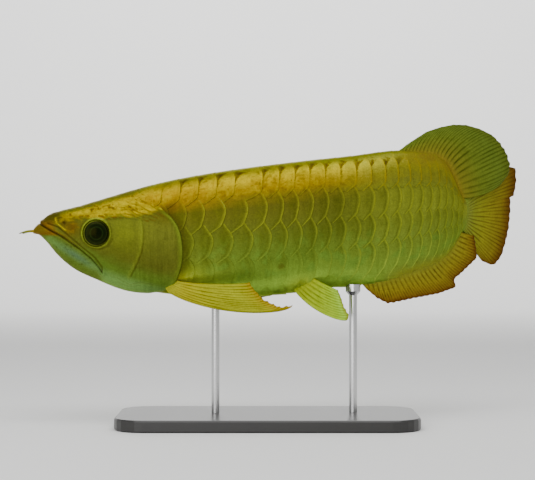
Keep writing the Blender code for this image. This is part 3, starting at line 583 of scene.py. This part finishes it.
# A plate's free edge as (columns back, rows down), from its top round to its lower front corner
FLANK_EDGE = (
    (-0.02, -0.08), (0.10, 0.05), (0.27, 0.20), (0.40, 0.36), (0.44, 0.52), (0.40, 0.68), (0.31, 0.85),
    (0.20, 1.00), (-0.06, 1.13), (-0.34, 1.26),
)
GOLD_EDGE = (
    (-0.58, 0.70), (-0.54, 0.54), (-0.46, 0.36), (-0.32, 0.21), (-0.12, 0.12), (0.10, 0.09), (0.28, 0.14),
    (0.39, 0.29), (0.44, 0.50), (0.43, 0.76), (0.38, 1.00), (0.12, 1.13), (-0.20, 1.26),
)
NOTCH = GOLD_EDGE[:5]
BACK_EDGE = (
    (-0.40, -1.25), (0.05, -0.95), (0.30, -0.50), (0.38, 0.00), (0.30, 0.50), (0.05, 0.95), (-0.40, 1.25),
)
BELLY_EDGE = ((-0.10, -0.66), (0.20, -0.38), (0.34, 0.00), (0.20, 0.38), (-0.10, 0.66))
NOTCH_AT = -0.35
SCALE_RIMS = (
    (122, 128, 24), (150, 134, 2), (138, 118, 6), (104, 106, 26), (102, 112, 26), (116, 136, 44),
)
RIM_STOPS = (0.0, 0.15, 0.24, 0.32, 0.70, 1.00)
NOTCH_BROWN, FIELD_GREEN, BELLY_GREEN = colour(66, 48, 6), colour(62, 66, 8), colour(92, 126, 44)
DORSAL_BASE, ANAL_BASE, FIN_YELLOW = colour(128, 112, 34), colour(118, 112, 36), colour(150, 146, 20)
# Soft spots of colour, of painted shadow and of painted light, as the middle (x, turn) and the half size
PECTORAL_SPOT = ((-0.093, 0.84), (0.018, 0.08))
PELVIC_SPOT = ((0.033, 0.90), (0.014, 0.06))
SHOULDER_SHADOW_SPOT = ((-0.095, 0.31), (0.009, 0.035))
LIGHT_ABOVE_PECTORAL = ((-0.050, 0.83), (0.045, 0.10))
BROWN_MARK, BROWN_MARK_SIZE = (0.013, 0.745), (0.0045, 0.035)
MAP_SIDE, MAP_GAP = 5, 0.01


def row_turn(row):
    """The share of the way round from back to belly of a place counted in rows, past 5 on the far side."""
    near = np.sign(row) * along(ROW_TURNS, np.abs(row))
    return np.where(row > SCALE_ROWS, 2 - along(ROW_TURNS, 2 * SCALE_ROWS - row), near)


def column_x(column, turn):
    """x of a place counted in scale columns back from the gill edge."""
    share = np.minimum(column / SCALE_COLUMNS, 1)
    front = along(GILL_EDGE, np.abs(turn))
    begins = WIDE_COLUMN - 0.8 - 4 * rising(np.abs(turn), 0.2, 0.5)
    wider = WIDER_BY * (rising(column, begins, WIDE_COLUMN) - rising(column, WIDE_COLUMN, WIDE_COLUMN + 6))
    return front + (BODY_END - front) * (1.29 * share - 0.29 * share**3) + wider


def spaced(line, count):
    """count points evenly spaced along a line of points."""
    line = np.asarray(line, float)
    length = np.concatenate(([0.0], np.cumsum(np.linalg.norm(np.diff(line, axis=0), axis=1))))
    at = np.linspace(0, length[-1], count)
    return np.stack([np.interp(at, length, line[:, axis]) for axis in range(line.shape[1])], -1)


def smooth_edge(edge):
    """Points evenly spaced along a smooth curve through an edge's points."""
    knots = np.linspace(0, 1, len(edge))
    fine = np.linspace(0, 1, 200)
    axes = [tuple(zip(knots, [point[axis] for point in edge])) for axis in (0, 1)]
    return spaced(np.stack([along(axis, fine) for axis in axes], -1), PLATE_LEVELS)


def plate_lift(back, down, inward, edge, chance):
    """How far a plate stands off the skin: least at its root, most along its free edge."""
    lift = SLOPE * (back - EDGE_REACH)
    if edge is BACK_EDGE:
        lift = 0.2 * lift - 0.0009 * np.abs(down)
    elif edge is BELLY_EDGE:
        lift = lift - 0.0006
    else:
        lift = lift + OVERLAP * (down - 0.6)
    return lift + 0.00010 * swell(inward, 0.001) + 0.00005 * (chance - 0.5)


def scale_patch(column, top, edge, side, chance):
    """One plate with its paint. top is the row coordinate that the edge's rows count from."""
    margin = smooth_edge(edge)
    middle = (margin[:, 1].min() + margin[:, 1].max()) / 2
    down = np.linspace(margin[0, 1], margin[-1, 1], PLATE_LEVELS)
    root = np.stack((np.full(PLATE_LEVELS, PLATE_ROOT), middle + (down - middle) * ROOT_NARROWED), -1)
    out = 1 - (1 - np.linspace(0, 1, PLATE_STEPS)) ** 1.8
    back, down = (root[None] + (margin - root)[None] * out[:, None, None]).transpose(2, 0, 1)
    centre = top if edge in (BACK_EDGE, BELLY_EDGE) else top + 0.5
    turn = row_turn(top + down)
    x = column_x(column + back + along(ROW_SHIFTS, centre), row_turn(np.array(centre)))
    inward = (1 - out)[:, None] * PLATE_LENGTH
    tucked = along(GILL_EDGE, turn % 1) - x
    lift = plate_lift(back, down, inward, edge, chance)
    lift = lift - 0.001 * rising(tucked, 0.001, 0.005) * rising(turn, 0.30, 0.38)
    lift = lift * (1 - FLATTER_AT_TAIL * rising(x, 0.15, BODY_END))
    points = skin_points(x, side * turn, lift)
    skirt = skin_points(x[-1], side * turn[-1], lift[-1] - EDGE_SKIRT)[None]
    paint = scale_paint(x, turn, back, down, inward, edge, chance)
    # The skirt under the free edge takes the edge's paint at half, as painted shade under the plate.
    return np.concatenate((points, skirt)), np.concatenate((paint, paint[-1:] * 0.5))


def on_flank(turn):
    return rising(turn, 0.24, 0.34) * (1 - rising(turn, 0.60, 0.90))


def field_paint(x, turn, back, down, chance, patches, flecks):
    """A plate's colours inside its rim: gold flecked above, dark green fields, pale fin roots, painted
    shoulder shadow.
    """
    field = 0.45 * on_flank(turn) * swell(back + 0.05, 0.32) * swell(down - 0.5, 0.42)
    gold = rising(turn, 0.08, 0.12) * (1 - rising(turn, 0.24, 0.31)) * (1 - 0.8 * rising(x, 0.02, 0.11))
    belly = rising(turn, 0.50, 0.70) * rising(patches, 0.1, 0.6) * rising(x, -0.08, -0.03)
    return coated(
        body_paint(x, turn) * (0.94 + 0.12 * chance),
        (FIELD_GREEN, field * (1 + patches) * (1 - 0.4 * rising(x, 0.05, 0.12))),
        (BRIGHT_YELLOW, 0.5 * gold * rising(0.6 * flecks + patches, -0.20, 0.40)),
        (DARK_GOLD, 0.4 * gold * rising(-flecks - 0.4 * patches, 0.30, 0.60)),
        (BELLY_GREEN, 0.6 * belly),
        (FIN_YELLOW, 0.8 * spot(x, turn, PECTORAL_SPOT) * (1 + 0.5 * flecks)),
        (FIN_YELLOW, 0.5 * spot(x, turn, PELVIC_SPOT) * (1 + 0.5 * flecks)),
        # Painted shadow behind the top of the gill covers
        (DARK_GOLD, 0.7 * spot(x, turn, SHOULDER_SHADOW_SPOT) * (1 + 0.4 * flecks)),
    )


def rim_paint(paint, x, turn, inward, flecks):
    """The paler rim along a plate's free edge, with a darker line inside it."""
    fades_below = 0.50 * rising(turn, 0.48, 0.72) * (1 - rising(x, 0.03, 0.10))
    fades_in_front = 0.40 + 0.60 * rising(x, -0.095, -0.050)
    strength = (0.70 - fades_below) * fades_in_front * (1 + 0.5 * flecks)
    brighter = 1 + 0.9 * rising(x, 0.04, 0.12) * rising(turn, 0.20, 0.35)
    rim = blended(RIM_STOPS, SCALE_RIMS, turn) * brighter[..., None]
    return coated(
        paint,
        (rim, strength * swell(inward - 0.0003, 0.001)),
        (FIELD_GREEN, 0.40 * swell(inward - 0.0028, 0.001) * on_flank(turn)),
    )


def notch_paint(paint, x, back, down, edge, flecks):
    """The dark notches between the plates of the back and of the first row."""
    if edge is BACK_EDGE:
        gap = swell(back - NOTCH_AT - 0.10 * flecks, 0.30)
        gap = 0.9 * (rising(np.abs(down) + 0.25 * flecks, 0.50, 0.70) * gap)
    elif edge is GOLD_EDGE:
        gap = 0.8 * rising(0.08 + 0.10 * flecks - distance_to(NOTCH, back, down)[0], 0, 0.06)
    else:
        return paint
    return coated(paint, (NOTCH_BROWN, gap * (rising(x, -0.115, -0.08) * (1 - rising(x, 0.11, 0.16)))))


def scale_paint(x, turn, back, down, inward, edge, chance):
    """All of a plate's colours, up to the fin roots, the brown mark and the shade of the gill covers."""
    turn = np.abs((turn + 1) % 2 - 1)
    patches, flecks = grain(x / 0.011, turn / 0.06 + 20, 11), grain(x / 0.003, turn / 0.012 + 20, 12)
    streaks = grain(x / 0.0018, turn / 0.10 + 20, 13)
    paint = field_paint(x, turn, back, down, chance, patches, flecks)
    # Painted light: brighter above the pectoral fin, against the shade that the fin casts there.
    painted_light = 0.5 * spot(x, turn, LIGHT_ABOVE_PECTORAL)
    paint = paint * (1 + 0.12 * streaks + 0.12 * flecks + 0.06 * patches + painted_light)[..., None]
    paint = rim_paint(paint, x, turn, inward, flecks)
    paint = notch_paint(paint, x, back, down, edge, flecks)
    under_dorsal = rising(x, 0.12, 0.16) * (1 - rising(turn + 0.03 * patches, 0.06, 0.20))
    over_anal = rising(x, 0.10, 0.14) * rising(turn + 0.03 * patches, 0.84, 0.97)
    mark = np.hypot((x - BROWN_MARK[0]) / BROWN_MARK_SIZE[0], (turn - BROWN_MARK[1]) / BROWN_MARK_SIZE[1])
    behind_gill = x - along(GILL_EDGE, turn)
    return coated(
        paint,
        (DORSAL_BASE, (0.7 + 0.5 * flecks) * under_dorsal),
        (ANAL_BASE, 0.8 * over_anal),
        (NOTCH_BROWN, 0.45 * rising(1 - (mark + 0.5 * flecks), 0, 0.6)),
        (SHADOW, 0.6 * rising(-behind_gill, -0.014, -0.004) * rising(turn, 0.26, 0.36)),
    )


def map_square(column):
    """The square of the OFBake map that a plate fills."""
    left, low = column % MAP_SIDE / MAP_SIDE, column // MAP_SIDE / MAP_SIDE
    far = 1 / MAP_SIDE - MAP_GAP
    return left + MAP_GAP, low + MAP_GAP, left + far, low + far


ROWS = [("scales_back", 0, BACK_EDGE, 1), ("scales_belly", SCALE_ROWS, BELLY_EDGE, 1)]
for row in range(1, SCALE_ROWS):
    for side, side_name in ((1, "left"), (-1, "right")):
        ROWS.append((f"scales_{side_name}_{row}", row - 0.5, GOLD_EDGE if row == 1 else FLANK_EDGE, side))

scale_material = painted_material(
    "scales", roughness=0.38, metallic=0.60, gloss=0.06, mottle=0.16, fine=0.0013, bump=0.15
)
rng = np.random.default_rng(7)
for name, top, edge, side in ROWS:
    plates = []
    for column in range(SCALE_COLUMNS):
        grid, paint = scale_patch(column, top, edge, side, rng.random())
        plates.append((grid, paint, map_square(column)))
    grid_piece(name, plates, scale_material)


# Eyes
# A glassy ball set in each side of the head, nearly all pupil, with faint rings and a thin bright rim.
# Only its outer face is made, as a shallow dome that ends behind the rim of the socket.
EYE_RADIUS = 0.0126
EYE_THICKNESS = 0.0096
EYE_LEVEL = 0.0223
EYE_TURN, EYE_DOME = math.radians(7), math.radians(100)
WHOLE_MAP = (0.01, 0.01, 0.99, 0.99)
EYE_STOPS = (0.00, 0.42, 0.50, 0.56, 0.72, 0.80, 0.90, 0.97, 1.00)
EYE_COLOURS = (
    (4, 12, 4), (8, 16, 5), (26, 42, 14), (8, 16, 5), (18, 28, 8), (32, 40, 14), (12, 16, 5), (84, 92, 24),
    (120, 128, 38),
)


def eye_patch(side):
    """A shallow dome in rings from the middle of the pupil to behind the rim, with its paint."""
    out, round_it = np.meshgrid(np.linspace(0, 1, 40), np.linspace(0, 2 * math.pi, 65), indexing="ij")
    angle = out * EYE_DOME
    across, depth = EYE_RADIUS * np.sin(angle), EYE_THICKNESS / 2 * np.cos(angle)
    x, y = across * np.cos(round_it), side * depth
    turn = -side * EYE_TURN
    grid = np.stack((
        x * math.cos(turn) - y * math.sin(turn) + EYE_CENTRE[0],
        x * math.sin(turn) + y * math.cos(turn) + side * EYE_LEVEL,
        across * np.sin(round_it) + EYE_CENTRE[1],
    ), -1)
    paint = blended(EYE_STOPS, EYE_COLOURS, np.sin(np.minimum(angle, math.pi / 2)))
    return grid, paint, WHOLE_MAP


eye_material = painted_material(
    "eye_ball", roughness=0.18, metallic=0.0, gloss=0.05, mottle=0.10, fine=0.0010, bump=0.0
)
for side, side_name in ((-1, "left"), (1, "right")):
    eye = grid_piece(f"eyeball_{side_name}", [eye_patch(side)], eye_material)
    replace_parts(eye, f"eye_{side_name}")


# Barbels
# Two soft feelers of the same skin as the head, which grow from the tip of the lower jaw and point
# forwards. Each is a thin tapering tube with a slight bow and a round end.
BARBEL_ROOT, BARBEL_TIP = np.array((-0.2310, 0.0036, 0.0086)), np.array((-0.2470, 0.0105, 0.0062))
BARBEL_RADIUS, BARBEL_TAPER, BARBEL_BOW = 0.0016, 0.0011, 0.0012
BARBEL_STOPS = (0.0, 0.45, 1.0)
BARBEL_COLOURS = ((150, 118, 26), (120, 122, 40), (84, 88, 48))


def barbel_patch(side):
    """One feeler in rings from its root to its tip, with its paint."""
    root, tip = BARBEL_ROOT * (1, side, 1), BARBEL_TIP * (1, side, 1)
    forward = (tip - root) / np.linalg.norm(tip - root)
    across = np.cross(forward, (0, 0, 1))
    across /= np.linalg.norm(across)
    above = np.cross(across, forward)
    share, around = np.meshgrid(np.linspace(0, 1, 30), np.linspace(0, 2 * math.pi, 17), indexing="ij")
    radius = (BARBEL_RADIUS - BARBEL_TAPER * share) * np.sqrt(np.clip((1 - share) * 12, 0, 1))
    bow = BARBEL_BOW * np.sin(math.pi * share)
    middle = root + (tip - root) * share[..., None] + above * bow[..., None]
    ring = np.cos(around)[..., None] * across + np.sin(around)[..., None] * above
    return middle + radius[..., None] * ring, blended(BARBEL_STOPS, BARBEL_COLOURS, share), WHOLE_MAP


for side, side_name in ((-1, "left"), (1, "right")):
    barbel = grid_piece(f"feeler_{side_name}", [barbel_patch(side)], skin_material)
    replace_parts(barbel, f"barbel_{side_name}")


# Fins
# Each fin is a thin skin over a fan of bony rays. The rays stand out as ridges, split in two half way,
# and end a little past the skin between them, which makes the margin ragged.
COLUMNS_A_RAY = 8
FIN_EDGE = 0.0006
RAY_RIDGE, RAY_JOINT = 0.00035, 0.0022
LEAN_START = 0.195
RIGHT_PECTORAL_RAISED = 0.015
# Roots and margins of the upright fins as points of (x, z), and of the right paired fins as (x, y, z)
DORSAL_ROOT = (
    (0.1310, 0.0870), (0.1550, 0.0865), (0.1800, 0.0820), (0.1920, 0.0760), (0.2010, 0.0630),
    (0.2100, 0.0455),
)
DORSAL_MARGIN = (
    (0.1365, 0.0915), (0.1450, 0.0975), (0.1569, 0.1043), (0.1692, 0.1107), (0.1858, 0.1150),
    (0.2035, 0.1180), (0.2204, 0.1181), (0.2377, 0.1151), (0.2543, 0.1097), (0.2655, 0.1015),
    (0.2735, 0.0924), (0.2785, 0.0802), (0.2762, 0.0706), (0.2666, 0.0620),
)
ANAL_ROOT = (
    (0.0955, -0.0435), (0.1230, -0.0390), (0.1510, -0.0315), (0.1800, -0.0215), (0.1960, -0.0105),
    (0.2085, 0.0085),
)
ANAL_MARGIN = (
    (0.1010, -0.0503), (0.1113, -0.0588), (0.1224, -0.0640), (0.1293, -0.0634), (0.1509, -0.0593),
    (0.1820, -0.0546), (0.2040, -0.0484), (0.2022, -0.0398), (0.2108, -0.0341), (0.2312, -0.0185),
    (0.2300, -0.0070), (0.2275, 0.0045),
)
CAUDAL_ROOT = ((0.2130, 0.0440), (0.2130, 0.0275), (0.2130, 0.0110))
CAUDAL_MARGIN = (
    (0.2576, 0.0600), (0.2844, 0.0781), (0.2948, 0.0768), (0.2959, 0.0620), (0.2924, 0.0478),
    (0.2868, 0.0453), (0.2868, 0.0304), (0.2844, 0.0132), (0.2800, -0.0009), (0.2733, -0.0164),
    (0.2643, -0.0250), (0.2576, -0.0264), (0.2443, -0.0224),
)
PECTORAL_ROOT = np.array((
    (-0.1000, 0.0130, -0.0475), (-0.0940, 0.0165, -0.0435), (-0.0880, 0.0190, -0.0400),
))
PECTORAL_MARGIN = np.array((
    (0.0245, 0.056, -0.0621), (0.0125, 0.055, -0.0640), (0.0060, 0.053, -0.0615), (-0.0039, 0.051, -0.0569),
    (-0.0079, 0.050, -0.0529), (-0.0140, 0.048, -0.0465), (-0.0175, 0.047, -0.0408),
))
PELVIC_ROOT = np.array(((0.0260, 0.0070, -0.0470), (0.0350, 0.0100, -0.0425), (0.0450, 0.0130, -0.0370)))
PELVIC_MARGIN = np.array((
    (0.0745, 0.0340, -0.0770), (0.0755, 0.0338, -0.0730), (0.0712, 0.0320, -0.0647),
    (0.0690, 0.0295, -0.0560), (0.0665, 0.0270, -0.0490),
))
# Colours from root to margin
FIN_STOPS = (0.00, 0.12, 0.45, 0.80, 0.93, 1.00)
GREEN_FIN = ((128, 110, 33), (113, 110, 34), (99, 112, 34), (94, 112, 37), (90, 105, 33), (86, 97, 25))
RED_FIN = ((106, 126, 44), (121, 131, 42), (134, 133, 38), (126, 112, 28), (104, 73, 12), (84, 44, 4))
ANAL_FIN = ((116, 118, 40), (126, 122, 38), (132, 120, 32), (116, 90, 18), (94, 56, 8), (82, 44, 5))
GOLD_FIN = ((146, 146, 28), (158, 152, 24), (150, 152, 28), (148, 152, 28), (148, 144, 24), (138, 112, 16))
PALE_FIN = ((136, 150, 28), (144, 158, 26), (142, 164, 28), (140, 172, 38), (144, 182, 54), (120, 124, 30))
RAY_GREEN, RAY_BROWN = colour(42, 52, 6), colour(66, 44, 4)
RAY_OLIVE, RAY_MOSS = colour(66, 60, 2), colour(72, 90, 12)
# How far the first and the last ray bow, as a share of their length
DORSAL_BOWS = ((0, 0, 0.03), (0, -0.04, -0.11))
ANAL_BOWS = ((0, 0, -0.03), (0, -0.08, -0.03))
CAUDAL_BOWS = ((0, 0, 0.03), (0, 0, -0.03))
PECTORAL_BOWS = np.array(((0, 0.02, -0.105), (0, 0.02, -0.03)))
PELVIC_BOWS = np.array(((0, 0.02, -0.14), (0, 0.02, -0.02)))
# How much further the rays between them bow
DORSAL_ARCH, ANAL_ARCH = (-0.09, 0, 0.12), (0, 0, -0.05)


def upright(line, lean):
    """(x, z) points as (x, y, z), leaning to the fish's left by lean at 0.1 m past where it starts."""
    return [(x, -lean * max(0.0, (x - LEAN_START) / 0.1), z) for x, z in line]


def fin_middle(roots, tips, share, phase, rays, bows, arch):
    """Points in the middle of a fin along its bowed rays, with the skin between them a little shorter."""
    reach = tips - roots
    size = np.linalg.norm(reach, axis=1)[:, None]
    place = np.linspace(0, 1, len(roots))[:, None]
    bow = (bows[0] + (np.array(bows[1]) - bows[0]) * place**2 + np.sin(math.pi * place) * arch) * size
    ragged = 1 - 0.00005 * rays / size * np.sin(math.pi * phase) ** 2
    along_ray = share * ragged
    curve = np.sqrt(np.sin(math.pi * along_ray).clip(0))
    return roots[:, None] + reach[:, None] * along_ray[..., None] + bow[:, None] * curve[..., None]


def fin_half(share, ridge, thickness, flesh):
    """Half the thickness of a fin, fleshy at the root, with ridges, and sharp at the margin."""
    place = np.linspace(0, 1, len(share))[:, None]
    plain = (thickness * (1 - share) ** 1.5 + FIN_EDGE * (1 - (1 - share) ** 1.5)) / 2
    half = plain * (1 - 0.85 * rising(share, 0.97, 1))
    half = half + RAY_RIDGE * ridge * (1 - 0.6 * share) * (1 - rising(share, 0.95, 1))
    return half + flesh * np.sin(math.pi * place) * (1 - rising(share, 0, 0.25))


def fin(name, node, root, margin, rays, steps, thickness, bows, stops, ray_colour, flesh=0, arch=(0, 0, 0)):
    """One fin from its root to its margin, the same on both of its sides."""
    columns = (rays - 1) * COLUMNS_A_RAY + 1
    roots, tips = spaced(root, columns), spaced(margin, columns)
    column, share = np.meshgrid(np.arange(columns), np.linspace(0, 1, steps), indexing="ij")
    phase = column / COLUMNS_A_RAY
    split = rising(share, 0.35, 0.65)
    middle = fin_middle(roots, tips, share, phase, rays, bows, arch)
    normal = np.cross(np.gradient(middle, axis=0), np.gradient(middle, axis=1))
    normal /= np.linalg.norm(normal, axis=-1, keepdims=True)
    ridge = np.cos(math.pi * phase) ** 4 * (1 - split) + np.cos(2 * math.pi * phase) ** 4 * split
    half = fin_half(share, ridge, thickness, flesh)[..., None]
    line = np.cos(math.pi * phase) ** 8 * (1 - split) + np.cos(2 * math.pi * phase) ** 6 * split
    dark = (0.6 + 0.4 * grain(column / 14, share * 5, 21)) * line * rising(share, 0.02, 0.16)
    paint = coated(blended(FIN_STOPS, stops, share), (ray_colour, dark))
    paint = paint * (1 + 0.12 * grain(column / 9, share * 14, 22))[..., None]
    size = np.linalg.norm(tips - roots, axis=1)[:, None]
    joint = np.sin(share * size / RAY_JOINT * math.pi) ** 8
    paint = paint * (1 - 0.12 * joint * ridge)[..., None]
    patches = [
        (middle + normal * half, paint, (0.01, 0.01, 0.99, 0.49)),
        ((middle - normal * half)[::-1], paint[::-1], (0.01, 0.51, 0.99, 0.99)),
    ]
    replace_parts(grid_piece(name, patches, fin_material), node)


fin_material = painted_material(
    "fins", roughness=0.45, metallic=0.25, gloss=0.08, mottle=0.14, fine=0.0015, bump=0.10
)
fin(
    "fin_dorsal", "dorsal_fin", upright(DORSAL_ROOT, 0), upright(DORSAL_MARGIN, 0.009), rays=24, steps=60,
    thickness=0.003, bows=DORSAL_BOWS, stops=GREEN_FIN, ray_colour=RAY_GREEN, flesh=0.0008,
    arch=DORSAL_ARCH,
)
fin(
    "fin_anal", "anal_fin", upright(ANAL_ROOT, 0), upright(ANAL_MARGIN, 0.012), rays=28, steps=50,
    thickness=0.003, bows=ANAL_BOWS, stops=ANAL_FIN, ray_colour=RAY_BROWN, flesh=0.0008, arch=ANAL_ARCH,
)
fin(
    "fin_caudal", "caudal_fin", upright(CAUDAL_ROOT, 0), upright(CAUDAL_MARGIN, 0), rays=20, steps=70,
    thickness=0.004, bows=CAUDAL_BOWS, stops=RED_FIN, ray_colour=RAY_BROWN, flesh=0.0026,
)
for side, side_name, raised in ((-1, "left", 0.0), (1, "right", RIGHT_PECTORAL_RAISED)):
    flip = np.array((1, side, 1))
    fin(
        f"fin_pectoral_{side_name}", f"pectoral_fin_{side_name}", PECTORAL_ROOT * flip,
        PECTORAL_MARGIN * flip + (0, 0, raised), rays=9, steps=90, thickness=0.003,
        bows=PECTORAL_BOWS * flip, stops=GOLD_FIN, ray_colour=RAY_OLIVE,
    )
    fin(
        f"fin_pelvic_{side_name}", f"pelvic_fin_{side_name}", PELVIC_ROOT * flip, PELVIC_MARGIN * flip,
        rays=7, steps=60, thickness=0.0026, bows=PELVIC_BOWS * flip, stops=PALE_FIN, ray_colour=RAY_MOSS,
    )


# Stand
# A wooden base in black lacquer with two steel rods standing in it, whose cups hold the belly. All three
# show their own solids and get only their finish here.
LACQUER_BLACK, STEEL_GREY = (0.018, 0.017, 0.016), (0.60, 0.60, 0.60)


def plain_material(name, tint, roughness, metallic):
    material = bpy.data.materials.new(name)
    material.use_nodes = True
    shader = material.node_tree.nodes["Principled BSDF"]
    set_inputs(shader, {"Base Color": (*tint, 1), "Roughness": roughness, "Metallic": metallic})
    return material


lacquer = plain_material("black_lacquer", LACQUER_BLACK, roughness=0.30, metallic=0.0)
steel = plain_material("steel", STEEL_GREY, roughness=0.24, metallic=1.0)
for node, material in (("stand_base", lacquer), ("stand_rod_front", steel), ("stand_rod_rear", steel)):
    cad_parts[node].data.materials.clear()
    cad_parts[node].data.materials.append(material)


# Floor, light and camera
# A sheet of pale paper that sweeps up far behind the stand, in even white light from all round. A broad
# soft light hangs above, another stands in front at the camera's left, and a third lights the paper. The
# camera looks level at the fish's left side.
PALE_PAPER = (0.86, 0.86, 0.85)
PAPER_FRONT, SWEEP_START, SWEEP_RADIUS, PAPER_TOP, PAPER_HALF_WIDTH = -4.0, 2.4, 1.6, 5.0, 5
FISH_MIDDLE, PAPER_MIDDLE = np.array((0.0, 0.0, 0.19)), np.array((0.0, 4.4, 1.4))
ROOM_LIGHT = 0.60
CAMERA_DISTANCE = 1.5
VIEW_WIDTH = 0.535
SENSOR_WIDTH = 36


def backdrop():
    """One sheet, flat in front and curved up behind."""
    profile = [(PAPER_FRONT, 0.0), (SWEEP_START, 0.0)]
    for angle in np.linspace(0.1, math.pi / 2, 14):
        rise = SWEEP_RADIUS - SWEEP_RADIUS * math.cos(angle)
        profile.append((SWEEP_START + SWEEP_RADIUS * math.sin(angle), rise))
    profile.append((SWEEP_START + SWEEP_RADIUS, PAPER_TOP))
    points = [(x, y, z) for y, z in profile for x in (-PAPER_HALF_WIDTH, PAPER_HALF_WIDTH)]
    faces = [(2 * i, 2 * i + 1, 2 * i + 3, 2 * i + 2) for i in range(len(profile) - 1)]
    mesh = bpy.data.meshes.new("backdrop")
    mesh.from_pydata(points, [], faces)
    mesh.shade_smooth()
    mesh.materials.append(plain_material("pale_paper", PALE_PAPER, roughness=0.9, metallic=0.0))
    paper = bpy.data.objects.new("backdrop", mesh)
    bpy.context.scene.collection.objects.link(paper)


def soft_light(name, place, aim, size, power):
    """A rectangular lamp that faces the point it is aimed at."""
    light = bpy.data.lights.new(name, "AREA")
    light.shape = "RECTANGLE"
    light.size, light.size_y = size
    light.energy = power
    lamp = bpy.data.objects.new(name, light)
    lamp.location = place
    lamp.rotation_euler = Vector(aim - np.array(place)).to_track_quat("-Z", "Y").to_euler()
    bpy.context.scene.collection.objects.link(lamp)


backdrop()
soft_light("top_light", (0.0, -0.45, 1.25), FISH_MIDDLE, size=(1.4, 0.7), power=12)
soft_light("front_light", (-0.6, -1.6, 0.42), FISH_MIDDLE, size=(1.4, 0.8), power=14)
soft_light("wall_light", (0.0, 2.2, 2.4), PAPER_MIDDLE, size=(4.0, 0.8), power=110)
world = bpy.data.worlds.new("studio")
world.use_nodes = True
set_inputs(world.node_tree.nodes["Background"], {"Color": (1, 1, 1, 1), "Strength": ROOM_LIGHT})
bpy.context.scene.world = world

view = bpy.data.cameras.new("camera")
view.sensor_width = SENSOR_WIDTH
view.lens = SENSOR_WIDTH * CAMERA_DISTANCE / VIEW_WIDTH
camera = bpy.data.objects.new("camera", view)
camera.location = (0, -CAMERA_DISTANCE, SWIM_HEIGHT)
camera.rotation_euler = (math.pi / 2, 0, 0)
bpy.context.scene.collection.objects.link(camera)
bpy.context.scene.camera = camera
